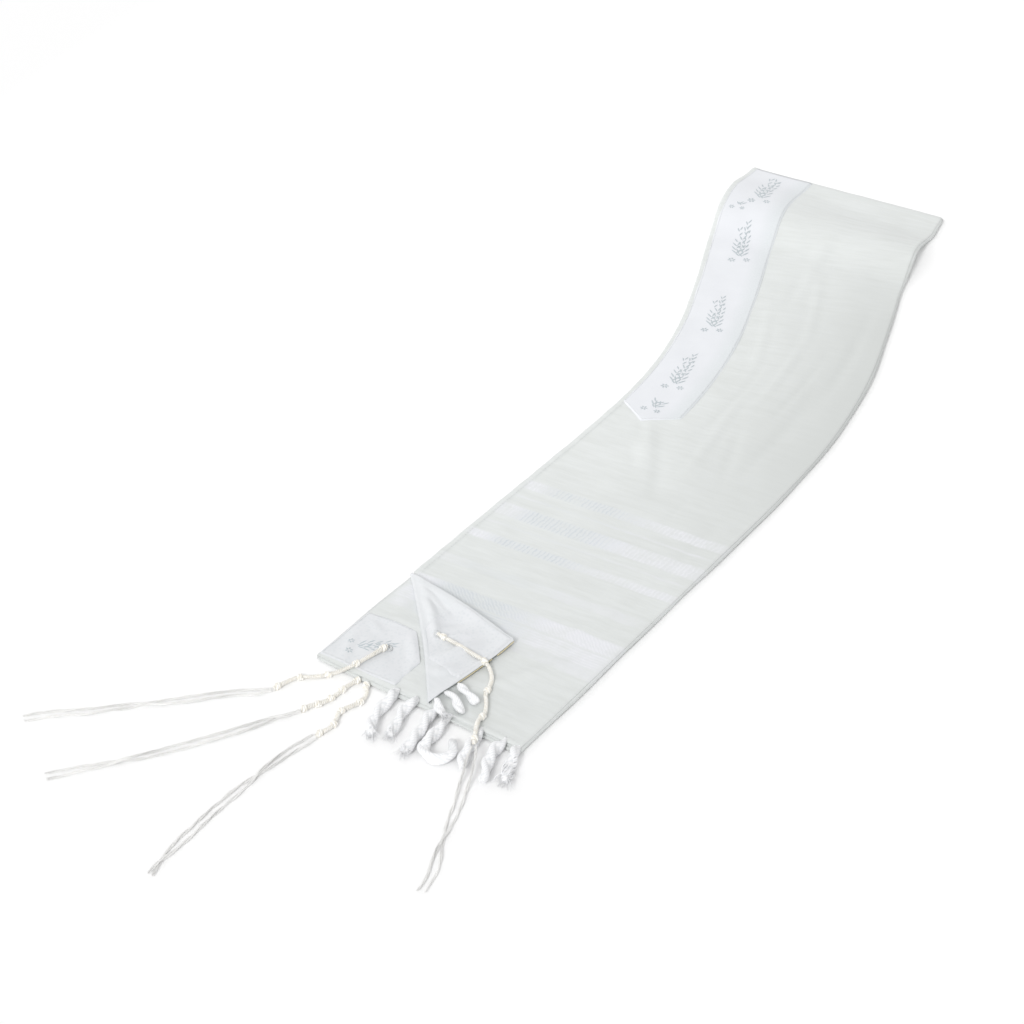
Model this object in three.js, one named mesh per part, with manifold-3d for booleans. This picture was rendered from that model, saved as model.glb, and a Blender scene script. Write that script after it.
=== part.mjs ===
// Tallit prayer shawl, folded in half twice and lying flat, with one corner turned back.
// Millimetres, +Z up. The plan's own zero is the corner of the pile at the fringed end,
// X runs towards the crosswise fold and -Y runs across to the lengthwise fold.
import * as THREE from 'three';
import * as BufferGeometryUtils from 'three/addons/utils/BufferGeometryUtils.js';
import Module from 'manifold-3d';

const wasm = await Module();
wasm.setup();

// ---- Driving dimensions --------------------------------------------------------------
const CLOTH = 1.2;              // one layer of the body cloth
const GAP = 0.3;                // room between pieces that lie on each other
const TRIM = 0.8;               // patches and neckband
const HIDDEN_LAYERS = 3;        // the body is folded into four, and one of them shows
const LENGTH = 1082;            // fringed end to crosswise fold
const START = new THREE.Vector2(-5.5, -111.5);   // middle of the fringed end
const BELOW_TOP = HIDDEN_LAYERS * (CLOTH + GAP) - GAP;      // top of the hidden layers
const TOP_BASE = BELOW_TOP + GAP;                           // underside of the showing layer
const TOP_FACE = TOP_BASE + CLOTH;                          // its upper face
const TURNED_BASE = TOP_FACE + GAP;
const TURNED_FACE = TURNED_BASE + CLOTH;

// How the folded strip lies: heading in degrees, width across, and how far the cross
// threads lean, as the lead of their right end over their left end.
const LAY = [
  { along: 0, heading: 0, width: 222, lean: -10 },
  { along: 215, heading: 0, width: 221, lean: 15 },
  { along: 413, heading: 0, width: 219, lean: 12 },
  { along: 513, heading: 2, width: 217, lean: 5 },
  { along: 633, heading: 10, width: 214, lean: 0 },
  { along: 753, heading: 18, width: 214, lean: 0 },
  { along: 853, heading: 20, width: 218, lean: 0 },
  { along: 953, heading: 17.5, width: 228, lean: 0 },
  { along: 1033, heading: 8, width: 239, lean: 0 },
  { along: LENGTH, heading: 5, width: 233, lean: 0 },
];

// The soft rise before the crosswise fold, and the long soft folds of the middle.
const RISE = { along: 1000, shift: -46, reach: 78, height: 9 };
const FOLDS = [
  { along: 450, across: 0.56, length: 90, breadth: 26, height: 1.4, turn: -20 },
  { along: 600, across: 0.66, length: 190, breadth: 34, height: 2.0, turn: 3 },
  { along: 720, across: 0.52, length: 150, breadth: 30, height: 1.2, turn: -3 },
  { along: 830, across: 0.76, length: 160, breadth: 32, height: 1.6, turn: 2 },
];

// Crease of the turned-back corner, from the long edge to the fringed end, and its tip.
const CREASE = [
  new THREE.Vector2(147, -3),
  new THREE.Vector2(72, -66),
  new THREE.Vector2(-2, -124),
];
const TURNED_TIP = new THREE.Vector2(112, -138);
const TURNED_END = new THREE.Vector2(33, -130);
const PATCH = 78;               // side of a corner patch
const PATCH_DEPTH = 84;         // its side across the cloth
const TURNED_PATCH = { deep: 76, longAtCrease: 41, endAtCrease: 48 };   // cut off by the crease
const NECKBAND = { left: 0.03, right: 0.322, point: 509, shoulder: 534, end: 1078 };

const KNOT_RADIUS = 2.4;        // wound and knotted part of a corner tassel
const STRANDS_RADIUS = 3.5;     // its eight loose strands, lying together

// ---- The lie of the cloth ------------------------------------------------------------
/** Value of one column of a table at a place along the strip. */
function column(rows, key, along) {
  if (along <= rows[0].along) return rows[0][key];
  for (let i = 1; i < rows.length; i += 1) {
    const a = rows[i - 1];
    const b = rows[i];
    if (along <= b.along) return a[key] + (b[key] - a[key]) * (along - a.along) / (b.along - a.along);
  }
  return rows[rows.length - 1][key];
}

const SPINE_STEP = 4;

/** Middle line of the strip, walked in short steps by its heading. */
function walkSpine() {
  const points = [];
  let x = START.x - 5 * SPINE_STEP;
  let y = START.y;
  for (let along = -5 * SPINE_STEP; along <= LENGTH + 5 * SPINE_STEP; along += SPINE_STEP) {
    points.push({ along, x, y });
    const heading = THREE.MathUtils.degToRad(column(LAY, 'heading', along + SPINE_STEP / 2));
    x += SPINE_STEP * Math.cos(heading);
    y += SPINE_STEP * Math.sin(heading);
  }
  return points;
}
const SPINE = walkSpine();

/** Plan point at a distance along the strip and a share across it, 0 left to 1 right. */
function plan(along, across) {
  const s = along + column(LAY, 'lean', along) * (across - 0.5);
  const x = column(SPINE, 'x', s);
  const y = column(SPINE, 'y', s);
  const heading = THREE.MathUtils.degToRad(column(LAY, 'heading', s));
  const side = column(LAY, 'width', s) * (0.5 - across);
  return { x: x - Math.sin(heading) * side, y: y + Math.cos(heading) * side, s };
}

/** Height that the cloth rises above lying flat. */
function relief(along, across) {
  const off = (along - RISE.along - RISE.shift * across) / RISE.reach;
  let rise = Math.abs(off) < 1 ? RISE.height * Math.cos(off * Math.PI / 2) ** 2 : 0;
  for (const fold of FOLDS) {
    const turn = THREE.MathUtils.degToRad(fold.turn);
    const dx = along - fold.along;
    const dy = (across - fold.across) * column(LAY, 'width', along);
    const u = (dx * Math.cos(turn) + dy * Math.sin(turn)) / fold.length;
    const v = (dy * Math.cos(turn) - dx * Math.sin(turn)) / fold.breadth;
    const edge = Math.min(across, 1 - across) / 0.06;
    if (Math.abs(u) < 1 && Math.abs(v) < 1) {
      rise += fold.height * Math.min(1, Math.max(0, edge))
        * Math.cos(u * Math.PI / 2) ** 2 * Math.cos(v * Math.PI / 2) ** 2;
    }
  }
  return rise;
}

/** Point on the cloth at a height above the floor, lifted by a share of the relief. */
function onCloth(along, across, height, share = 1) {
  const p = plan(along, across);
  return new THREE.Vector3(p.x, p.y, height + share * relief(along, across));
}

// Every layer is laid over the same rows and columns, so that the layers nest. Rows are
// closer where the strip bends and rises.
const ROW_SPACING = [
  { until: 440, step: 40 },
  { until: 880, step: 22 },
  { until: LENGTH, step: 12 },
];
const ROWS = [0];
for (const { until, step } of ROW_SPACING) {
  while (ROWS[ROWS.length - 1] + step / 2 < until) ROWS.push(ROWS[ROWS.length - 1] + step);
}
const COLUMNS = Array.from({ length: 11 }, (_, i) => i / 10);

// ---- Shapes --------------------------------------------------------------------------
/** The marks of a scale between two ends, and the ends themselves. */
function between(marks, low, high) {
  const room = 0.2 * (marks[1] - marks[0]);
  return [low, ...marks.filter((mark) => mark > low + room && mark < high - room), high];
}

/** Closed wall between two faces, each a grid over the same rows and columns. */
function wall(alongs, acrosses, upper, lower) {
  const position = [];
  const index = [];
  const rows = alongs.length - 1;
  const columns = acrosses.length - 1;
  const stride = columns + 1;
  const count = (rows + 1) * stride;
  for (const face of [upper, lower]) {
    for (const along of alongs) {
      for (const side of acrosses) position.push(...face(along, side).toArray());
    }
  }
  const at = (i, j) => i * stride + j;
  for (let i = 0; i < rows; i += 1) {
    for (let j = 0; j < columns; j += 1) {
      const [a, b, c, d] = [at(i, j), at(i, j + 1), at(i + 1, j), at(i + 1, j + 1)];
      index.push(a, b, c, b, d, c);
      index.push(a + count, c + count, b + count, b + count, c + count, d + count);
    }
  }
  const rim = (p, q) => index.push(q, p, p + count, q, p + count, q + count);
  for (let j = 0; j < columns; j += 1) {
    rim(at(0, j), at(0, j + 1));
    rim(at(rows, j + 1), at(rows, j));
  }
  for (let i = 0; i < rows; i += 1) {
    rim(at(i + 1, 0), at(i, 0));
    rim(at(i, columns), at(i + 1, columns));
  }
  const geometry = new THREE.BufferGeometry();
  geometry.setAttribute('position', new THREE.Float32BufferAttribute(position, 3));
  geometry.setIndex(index);
  return geometry;
}

/** Wall of the body cloth between two places along it and two across it. */
function clothWall({ from, to, left, right, base, thick, share }) {
  const lay = (height) => (along, side) => onCloth(along, side, height, share);
  return wall(between(ROWS, from, to), between(COLUMNS, left, right), lay(base + thick), lay(base));
}

/** Flat plate with the outline given, its underside at base. */
function plate(outline, base, thick) {
  const geometry = new THREE.ExtrudeGeometry(new THREE.Shape(outline), { depth: thick, bevelEnabled: false });
  return geometry.translate(0, 0, base);
}

/** Round tube along a smooth curve through the points. */
function tube(points, radius, sides, step) {
  const curve = new THREE.CatmullRomCurve3(points, false, 'centripetal');
  const ring = [];
  for (let i = 0; i < sides; i += 1) {
    const turn = 2 * Math.PI * i / sides;
    ring.push(new THREE.Vector2(radius * Math.cos(turn), radius * Math.sin(turn)));
  }
  const steps = Math.max(4, Math.round(curve.getLength() / step));
  return new THREE.ExtrudeGeometry(new THREE.Shape(ring), { steps, bevelEnabled: false, extrudePath: curve });
}

function toSolid(geometry) {
  const bare = geometry.clone();
  bare.deleteAttribute('normal');
  bare.deleteAttribute('uv');
  const merged = BufferGeometryUtils.mergeVertices(bare, 1e-4);
  return new wasm.Manifold(new wasm.Mesh({
    numProp: 3,
    vertProperties: new Float32Array(merged.attributes.position.array),
    triVerts: new Uint32Array(merged.index.array),
  }));
}

function fromSolid(solid) {
  const mesh = solid.getMesh();
  const geometry = new THREE.BufferGeometry();
  geometry.setAttribute('position', new THREE.BufferAttribute(mesh.vertProperties, 3));
  geometry.setIndex(new THREE.BufferAttribute(mesh.triVerts, 1));
  return geometry;
}

// ---- Materials -----------------------------------------------------------------------
const COLOURS = { cloth: 0xe4e8e7, satin: 0xeceef3, yarn: 0xeeece6 };
const material = (colour, roughness) => new THREE.MeshStandardMaterial({ color: colour, roughness, metalness: 0 });
const tallit = new THREE.Group();

function add(name, geometry, colour, roughness = 0.75) {
  const mesh = new THREE.Mesh(geometry, material(colour, roughness));
  mesh.name = name;
  tallit.add(mesh);
  return mesh;
}

// ---- Hidden layers: one solid, its three layers stepped at every edge ----------------
const LAYER_EDGES = [
  { from: 1, to: LENGTH, left: 0.000, right: 0.994, share: 0.0 },
  { from: -3, to: LENGTH - 3, left: 0.010, right: 1.004, share: 0.5 },
  { from: 0, to: LENGTH - 1.5, left: 0.004, right: 1.010, share: 1.0 },
];
const CORE_INSET = 5;

function hiddenLayers() {
  let solid = null;
  LAYER_EDGES.forEach((edges, i) => {
    const layer = toSolid(clothWall({ ...edges, base: i * (CLOTH + GAP), thick: CLOTH }));
    solid = solid ? solid.add(layer) : layer;
  });
  const inset = CORE_INSET / LAY[0].width;
  const reach = (height, share) => (along, side) => onCloth(along, side, height, share);
  const core = toSolid(wall(
    between(ROWS, CORE_INSET, LENGTH - CORE_INSET), between(COLUMNS, inset, 1 - inset),
    reach(BELOW_TOP - CLOTH / 2, 1), reach(CLOTH / 2, 0)));
  return fromSolid(solid.add(core));
}
add('hidden_layers', hiddenLayers(), COLOURS.cloth);

// ---- Showing layer, cut back along the crease of the turned corner -------------------
const CREASE_ROOM = 2.2;        // from the crease line to the cut of the layer below its roll
const creaseLine = new THREE.Vector2().subVectors(CREASE[0], CREASE[2]).normalize();
const inward = new THREE.Vector2(creaseLine.y, -creaseLine.x);   // from the crease onto the cloth
const creaseAt = (shift) => CREASE.map((p) => p.clone().addScaledVector(inward, shift));

function showingLayer() {
  const layer = toSolid(clothWall({
    from: 0, to: LENGTH, left: 0, right: 1, base: TOP_BASE, thick: CLOTH, share: 1,
  }));
  const [far, middle, near] = creaseAt(CREASE_ROOM);
  const beyond = 60;
  const cut = [
    far.clone().addScaledVector(creaseLine, beyond), far, middle, near,
    near.clone().addScaledVector(creaseLine, -beyond), new THREE.Vector2(-beyond, beyond),
  ];
  return fromSolid(layer.subtract(toSolid(plate(cut, TOP_BASE - 1, CLOTH + 2))));
}
add('showing_layer', showingLayer(), COLOURS.cloth);

// ---- Turned-back corner, with the roll of its crease ---------------------------------
const ROLL_RADIUS = 1.35;

function turnedCorner() {
  const [far, middle, near] = CREASE;
  const flat = toSolid(plate([far, middle, near, TURNED_END, TURNED_TIP], TURNED_BASE, CLOTH));
  const rollHeight = TURNED_FACE - ROLL_RADIUS;
  const line = [far, middle, near].map((p) => new THREE.Vector3(p.x, p.y, rollHeight));
  const ends = creaseLine.clone().multiplyScalar(2);
  line[0].x -= ends.x;
  line[0].y -= ends.y;
  return fromSolid(flat.add(toSolid(tube(line, ROLL_RADIUS, 10, 12))));
}
add('turned_corner', turnedCorner(), COLOURS.cloth);

// ---- Corner patches ------------------------------------------------------------------
const EDGE_MARGIN = 2;

function lowerPatch() {
  const [, middle, near] = creaseAt(-4);
  const slope = (near.y - middle.y) / (near.x - middle.x);
  const low = -PATCH_DEPTH;
  const upperSlope = (CREASE[0].y - CREASE[1].y) / (CREASE[0].x - CREASE[1].x);
  return plate([
    new THREE.Vector2(EDGE_MARGIN, -EDGE_MARGIN),
    new THREE.Vector2(PATCH, -EDGE_MARGIN),
    new THREE.Vector2(PATCH, middle.y + (PATCH - middle.x) * upperSlope),
    middle,
    new THREE.Vector2(middle.x + (low - middle.y) / slope, low),
    new THREE.Vector2(EDGE_MARGIN, low),
  ].reverse(), TOP_BASE, TRIM);
}
add('corner_patch_lower', lowerPatch(), COLOURS.satin, 0.5);

function turnedPatch() {
  const long = CREASE[0].clone().sub(TURNED_TIP).normalize();
  const end = TURNED_END.clone().sub(TURNED_TIP).normalize();
  const from = (a, b) => TURNED_TIP.clone().addScaledVector(long, a).addScaledVector(end, b);
  const [, middle] = creaseAt(3);
  const { deep, longAtCrease, endAtCrease } = TURNED_PATCH;
  return plate([
    from(EDGE_MARGIN, EDGE_MARGIN), from(PATCH, EDGE_MARGIN), from(PATCH, longAtCrease), middle,
    from(endAtCrease, deep), from(EDGE_MARGIN, deep),
  ], TURNED_FACE + GAP, TRIM);
}
add('corner_patch_turned', turnedPatch(), COLOURS.satin, 0.5);

// ---- Neckband ------------------------------------------------------------------------
function neckband() {
  const { left, right, point, shoulder, end } = NECKBAND;
  const straight = ROWS.find((row) => row > shoulder);
  const lay = (height) => (along, side) => {
    const v = (side - left) / (right - left);
    const start = point + (shoulder - point) * Math.abs(2 * v - 1);
    return onCloth(Math.max(along, start), side, height);
  };
  const base = TOP_FACE + GAP;
  const rows = [point, ...between(ROWS, straight, end)];
  const columns = between(COLUMNS, left, right);
  return wall(rows, columns, lay(base + TRIM), lay(base));
}
add('neckband', neckband(), COLOURS.satin, 0.45);

// ---- Fringe: plain solids of each tassel's reach -------------------------------------
const v3 = (x, y, z) => new THREE.Vector3(x, y, z);
const FRINGE_RADIUS = 4.0;
const onFloor = FRINGE_RADIUS + 0.1;
const FRINGE = [
  [v3(-9, -90, onFloor), v3(-42, -98, onFloor), v3(-68, -107, onFloor)],
  [v3(-11, -112, onFloor), v3(-40, -117, onFloor), v3(-60, -118, onFloor)],
  [v3(-13, -134, onFloor), v3(-50, -138, onFloor), v3(-71, -144, onFloor)],
  [v3(-13, -148, onFloor), v3(-34, -150, onFloor), v3(-56, -157, onFloor), v3(-62, -170, onFloor),
    v3(-50, -178, onFloor), v3(-33, -172, onFloor)],
  [v3(-14, -183, onFloor), v3(-38, -190, onFloor), v3(-61, -197, onFloor)],
  [v3(-15, -207, onFloor), v3(-45, -211, onFloor), v3(-68, -218, onFloor)],
  [v3(-15, -221, onFloor), v3(-38, -226, onFloor), v3(-55, -234, onFloor)],
];
FRINGE.forEach((route, i) => add(`fringe_${i + 1}`, tube(route, FRINGE_RADIUS, 8, 9), COLOURS.yarn));

const onTop = TOP_FACE + GAP + 3.6;
const TURNED_FRINGE = [
  [v3(28, -135, onTop), v3(19, -147, onTop), v3(14, -160, onTop)],
  [v3(13, -133, onTop), v3(6, -146, onTop), v3(0, -159, onTop)],
  [v3(-1, -131, onTop), v3(-8, -141, onTop + 1.4), v3(-15, -151, onTop + 2.9)],
];
TURNED_FRINGE.forEach((route, i) => add(`fringe_turned_${i + 1}`, tube(route, 3.6, 8, 8), COLOURS.yarn));

// ---- Corner tassels: a knotted part, then the loose strands --------------------------
const knotFloor = KNOT_RADIUS + 0.1;
const strandFloor = STRANDS_RADIUS + 0.1;
const onPatch = TOP_BASE + TRIM + GAP + KNOT_RADIUS;
const onTurned = TURNED_FACE + GAP + TRIM + GAP + KNOT_RADIUS;
const onTopLayer = TOP_FACE + GAP + KNOT_RADIUS;
const CORNER_TASSELS = [
  {
    knots: [v3(41, -48, onPatch), v3(20, -44, onPatch), v3(0, -39.5, onPatch), v3(-9, -33, 4.8),
      v3(-18, -25, knotFloor), v3(-27, -17, knotFloor), v3(-36, -6, knotFloor), v3(-49, -1, knotFloor),
      v3(-61, 2, knotFloor)],
    strands: [v3(-63, 3, strandFloor), v3(-75, 15, strandFloor), v3(-88, 30, strandFloor),
      v3(-121, 60, strandFloor), v3(-153, 90, strandFloor), v3(-185, 122, strandFloor),
      v3(-203, 142, strandFloor), v3(-218, 153, strandFloor)],
  },
  {
    knots: [v3(-7, -52, knotFloor), v3(-21, -49, knotFloor), v3(-38, -48, knotFloor),
      v3(-52, -45, knotFloor), v3(-62, -39, knotFloor), v3(-71, -36, knotFloor)],
    strands: [v3(-73, -35.4, strandFloor), v3(-90, -26, strandFloor), v3(-107, -17, strandFloor),
      v3(-157, 11, strandFloor), v3(-203, 39, strandFloor), v3(-245, 71, strandFloor),
      v3(-267, 87, strandFloor)],
  },
  {
    knots: [v3(-8, -60, knotFloor), v3(-20, -69, knotFloor), v3(-33, -71.5, knotFloor),
      v3(-43, -68, knotFloor), v3(-54, -65, knotFloor), v3(-74, -71, knotFloor), v3(-92, -67, knotFloor)],
    strands: [v3(-94, -66.5, strandFloor), v3(-116, -62, strandFloor), v3(-142, -59, strandFloor),
      v3(-202, -56, strandFloor), v3(-257, -57, strandFloor), v3(-291, -59, strandFloor),
      v3(-314, -63, strandFloor)],
  },
  {
    knots: [v3(79, -77, onTurned), v3(76, -100, onTurned), v3(72, -120, onTurned), v3(70, -131, onTurned),
      v3(66, -140, 9.9), v3(60, -147, onTopLayer), v3(53, -152, onTopLayer), v3(43, -156, onTopLayer),
      v3(33, -159, onTopLayer), v3(23, -166, onTopLayer), v3(10, -173, onTopLayer),
      v3(-3, -175, 9.6), v3(-18, -182, 11.6), v3(-34, -191, 11.6)],
    strands: [v3(-36, -192, 12.2), v3(-47, -197, 12.2), v3(-62, -203.5, 9.6), v3(-77, -209, 5.8),
      v3(-103, -219, strandFloor), v3(-141, -232, strandFloor), v3(-171, -244, strandFloor),
      v3(-190, -251, strandFloor), v3(-206, -254, strandFloor)],
  },
];
CORNER_TASSELS.forEach(({ knots, strands }, i) => {
  add(`tzitzit_${i + 1}_knots`, tube(knots, KNOT_RADIUS, 8, 9), COLOURS.yarn);
  add(`tzitzit_${i + 1}_strands`, tube(strands, STRANDS_RADIUS, 8, 12), COLOURS.yarn);
});

// ---- The part's own zero: under the middle of the shawl without its corner tassels ---
const extent = new THREE.Box3();
for (const mesh of tallit.children) {
  if (!mesh.name.startsWith('tzitzit')) extent.expandByObject(mesh);
}
const middle = extent.getCenter(new THREE.Vector3());
tallit.position.set(-middle.x, -middle.y, -extent.min.z);
tallit.updateMatrixWorld(true);

export default tallit;
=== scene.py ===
"""Tallit prayer shawl, folded in four and laid flat: its looks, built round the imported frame.

Sizes are millimetres in the shawl's own plan, the one its solids are laid out in: zero at the corner of
the pile at the fringed end, X towards the crosswise fold and -Y across to the lengthwise fold. They become
metres in the frame only where a mesh is written.
"""

import logging
import math
from collections.abc import Callable
from dataclasses import dataclass, field
from enum import Enum

import bpy
import numpy as np
from mathutils import Matrix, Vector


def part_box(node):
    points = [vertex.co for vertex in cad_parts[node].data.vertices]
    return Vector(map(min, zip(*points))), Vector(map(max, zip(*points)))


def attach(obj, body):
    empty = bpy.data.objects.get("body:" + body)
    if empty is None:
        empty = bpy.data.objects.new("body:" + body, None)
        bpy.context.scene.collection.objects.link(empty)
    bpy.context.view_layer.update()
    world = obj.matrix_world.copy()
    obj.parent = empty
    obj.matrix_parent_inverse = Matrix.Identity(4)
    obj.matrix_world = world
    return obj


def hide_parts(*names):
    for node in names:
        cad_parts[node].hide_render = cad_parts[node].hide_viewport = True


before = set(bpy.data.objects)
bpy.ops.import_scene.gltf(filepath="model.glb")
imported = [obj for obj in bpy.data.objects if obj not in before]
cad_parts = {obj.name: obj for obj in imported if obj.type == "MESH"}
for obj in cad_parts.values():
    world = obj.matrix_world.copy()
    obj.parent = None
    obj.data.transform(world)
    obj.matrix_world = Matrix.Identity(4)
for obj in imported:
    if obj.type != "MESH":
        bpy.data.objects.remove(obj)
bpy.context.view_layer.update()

LOG = logging.getLogger("tallit")
MM = 0.001
Array = np.ndarray
Lie = Callable[[Array, Array, Array], Array]
Material = bpy.types.Material
Piece = bpy.types.Object
Socket = bpy.types.NodeSocket

# ---- Sizes shared with the solids -----------------------------------------------------
LENGTH = 1082.0        # fringed end to crosswise fold
NOMINAL_WIDTH = 220.0  # the folded strip, for turning millimetres across into shares
START = (-5.5, -111.5)
CLOTH = 1.2
GAP = 0.3
TRIM = 0.8
SECOND_FACE = 4.2      # upper face of the second layer
TOP_FACE = 5.7         # upper face of the showing layer
TURNED_FACE = 7.2      # upper face of the turned-back corner
EDGE_FALL = 0.95       # how far the turned-under edge of a satin piece rounds down
EDGE_MARGIN = 2.0
PATCH = 78.0
PATCH_DEPTH = 84.0
CREASE = ((147.0, -3.0), (72.0, -66.0), (-2.0, -124.0))
TURNED_TIP = (112.0, -138.0)
KNOT_WIDTH = 4.8
STRANDS_WIDTH = 7.0


@dataclass(frozen=True)
class LayRow:
    """How the folded strip lies at one place along it."""

    along: float
    heading: float
    width: float
    lean: float


LAY = (
    LayRow(0, 0, 222, -10),
    LayRow(215, 0, 221, 15),
    LayRow(413, 0, 219, 12),
    LayRow(513, 2, 217, 5),
    LayRow(633, 10, 214, 0),
    LayRow(753, 18, 214, 0),
    LayRow(853, 20, 218, 0),
    LayRow(953, 17.5, 228, 0),
    LayRow(1033, 8, 239, 0),
    LayRow(LENGTH, 5, 233, 0),
)


@dataclass(frozen=True)
class Ridge:
    """A soft ridge of the cloth, or a trough where its height is negative."""

    along: float
    across: float
    length: float
    breadth: float
    height: float
    turn: float


SOFT_FOLDS = (
    Ridge(450, 0.56, 90, 26, 1.4, -20),
    Ridge(600, 0.66, 190, 34, 2.0, 3),
    Ridge(720, 0.52, 150, 30, 1.2, -3),
    Ridge(830, 0.76, 160, 32, 1.6, 2),
)
CREASES = (
    Ridge(470, 0.30, 62, 15, 2.4, -28),
    Ridge(492, 0.22, 40, 9, -1.0, -30),
    Ridge(430, 0.46, 55, 12, -1.2, -24),
    Ridge(383, 0.675, 40, 2.6, -0.8, 0),
    Ridge(520, 0.52, 110, 9, 1.6, -6),
    Ridge(500, 0.66, 90, 10, -1.3, -16),
    Ridge(590, 0.47, 130, 7, -1.2, 3),
    Ridge(655, 0.60, 120, 8, 1.5, 4),
    Ridge(640, 0.72, 100, 7, -1.2, 6),
    Ridge(560, 0.78, 150, 12, -1.6, 2),
    Ridge(720, 0.43, 120, 9, 1.1, -5),
    Ridge(690, 0.86, 170, 11, -1.5, 4),
    Ridge(800, 0.62, 110, 9, 1.2, -3),
    Ridge(845, 0.50, 90, 10, -1.0, 6),
    Ridge(905, 0.55, 90, 14, 1.4, 8),
    Ridge(300, 0.88, 200, 12, -1.1, 0),
    Ridge(170, 0.80, 90, 16, 1.4, 14),
    Ridge(90, 0.78, 60, 12, 2.0, 30),
    Ridge(60, 0.90, 50, 9, -1.2, 12),
    Ridge(40, 0.66, 46, 10, 1.5, 24),
    Ridge(250, 0.14, 70, 16, 0.8, -10),
    Ridge(330, 0.40, 80, 18, 0.7, 35),
)


@dataclass(frozen=True)
class Rise:
    """The soft rise of the pile before its crosswise fold."""

    along: float = 1000.0
    shift: float = -46.0
    reach: float = 78.0
    height: float = 9.0


def plan_zero() -> Array:
    """Finds the plan's zero in the frame from the lower corner patch.

    Returns:
        The zero's place in metres.
    """
    low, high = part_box("corner_patch_lower")
    return np.array([low[0] - EDGE_MARGIN * MM, high[1] + EDGE_MARGIN * MM, 0.0])


ZERO = plan_zero()


def to_frame(points: Array) -> Array:
    """Plan millimetres to frame metres."""
    return np.asarray(points, float) * MM + ZERO


def smooth(value: Array) -> Array:
    """Eases from 0 to 1 with level ends."""
    v = np.clip(value, 0.0, 1.0)
    return v * v * (3 - 2 * v)


class FoldedStrip:
    """Where each point of the folded cloth lies."""

    def __init__(self, rows: tuple[LayRow, ...], rise: Rise, folds: tuple[Ridge, ...],
                 creases: tuple[Ridge, ...]) -> None:
        """Walks the middle line of the strip.

        Args:
            rows: how the strip lies, along it.
            rise: the rise before the crosswise fold.
            folds: the largest folds, which the solids have too.
            creases: the finer ones.
        """
        self.at = np.array([r.along for r in rows])
        self.heading = np.radians([r.heading for r in rows])
        self.width = np.array([r.width for r in rows])
        self.lean = np.array([r.lean for r in rows])
        self.rise, self.folds, self.creases = rise, folds, creases
        self.walk = np.arange(-20.0, LENGTH + 40.0, 1.0)
        turn = np.interp(self.walk[:-1] + 0.5, self.at, self.heading)
        self.x = START[0] - 20.0 + np.concatenate([[0], np.cumsum(np.cos(turn))])
        self.y = START[1] + np.concatenate([[0], np.cumsum(np.sin(turn))])

    def plan(self, along: Array, across: Array) -> tuple[Array, Array]:
        """Plan place of points of the cloth.

        Args:
            along: millimetres from the fringed end.
            across: share of the width, 0 at the hemmed long edge.

        Returns:
            X and Y in plan millimetres.
        """
        s = along + np.interp(along, self.at, self.lean) * (across - 0.5)
        turn = np.interp(s, self.at, self.heading)
        side = np.interp(s, self.at, self.width) * (0.5 - across)
        x = np.interp(s, self.walk, self.x) - np.sin(turn) * side
        return x, np.interp(s, self.walk, self.y) + np.cos(turn) * side

    def bump(self, ridge: Ridge, along: Array, across: Array) -> Array:
        """Height of one ridge at points of the cloth."""
        turn = math.radians(ridge.turn)
        dx = along - ridge.along
        dy = (across - ridge.across) * np.interp(along, self.at, self.width)
        u = (dx * math.cos(turn) + dy * math.sin(turn)) / ridge.length
        v = (dy * math.cos(turn) - dx * math.sin(turn)) / ridge.breadth
        inside = (np.abs(u) < 1) & (np.abs(v) < 1)
        edge = np.clip(np.minimum(across, 1 - across) / 0.06, 0, 1)
        shape = np.cos(u * math.pi / 2) ** 2 * np.cos(v * math.pi / 2) ** 2
        return np.where(inside, ridge.height * edge * shape, 0.0)

    def relief(self, along: Array, across: Array, fine: bool = True) -> Array:
        """Height that the cloth rises above lying flat, in millimetres."""
        off = (along - self.rise.along - self.rise.shift * across) / self.rise.reach
        swell = np.cos(np.clip(off, -1, 1) * math.pi / 2) ** 2
        high = np.where(np.abs(off) < 1, self.rise.height * swell, 0.0)
        for ridge in self.folds + (self.creases if fine else ()):
            high = high + self.bump(ridge, along, across)
        if fine:
            wander = 2 * np.sin(across * 5)
            high = high + 0.16 * np.sin(along / 37 + wander) * np.sin(across * 19 + along / 210)
            high = high + 0.10 * np.sin(along / 13.7 + 3 * across) * np.sin(across * 41 + along / 90)
        return high

    def surface(self, along: Array, across: Array, height: Array, fine: bool = True) -> Array:
        """Frame places of points of the cloth.

        Args:
            along: millimetres from the fringed end.
            across: share of the width.
            height: millimetres above the floor where the cloth lies flat.
            fine: whether the finer creases show.

        Returns:
            An array with X, Y and Z in metres last.
        """
        x, y = self.plan(along, across)
        z = height + self.relief(np.clip(along, 0, LENGTH), np.clip(across, 0, 1), fine)
        return to_frame(np.stack([x, y, z], -1))


STRIP = FoldedStrip(LAY, Rise(), SOFT_FOLDS, CREASES)


# ---- Finishes -------------------------------------------------------------------------
def colour(code: str) -> tuple[float, float, float, float]:
    """Linear colour of an sRGB hex code."""
    parts = [int(code[i:i + 2], 16) / 255 for i in (1, 3, 5)]
    linear = [c / 12.92 if c <= 0.04045 else ((c + 0.055) / 1.055) ** 2.4 for c in parts]
    return (*linear, 1.0)


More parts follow.
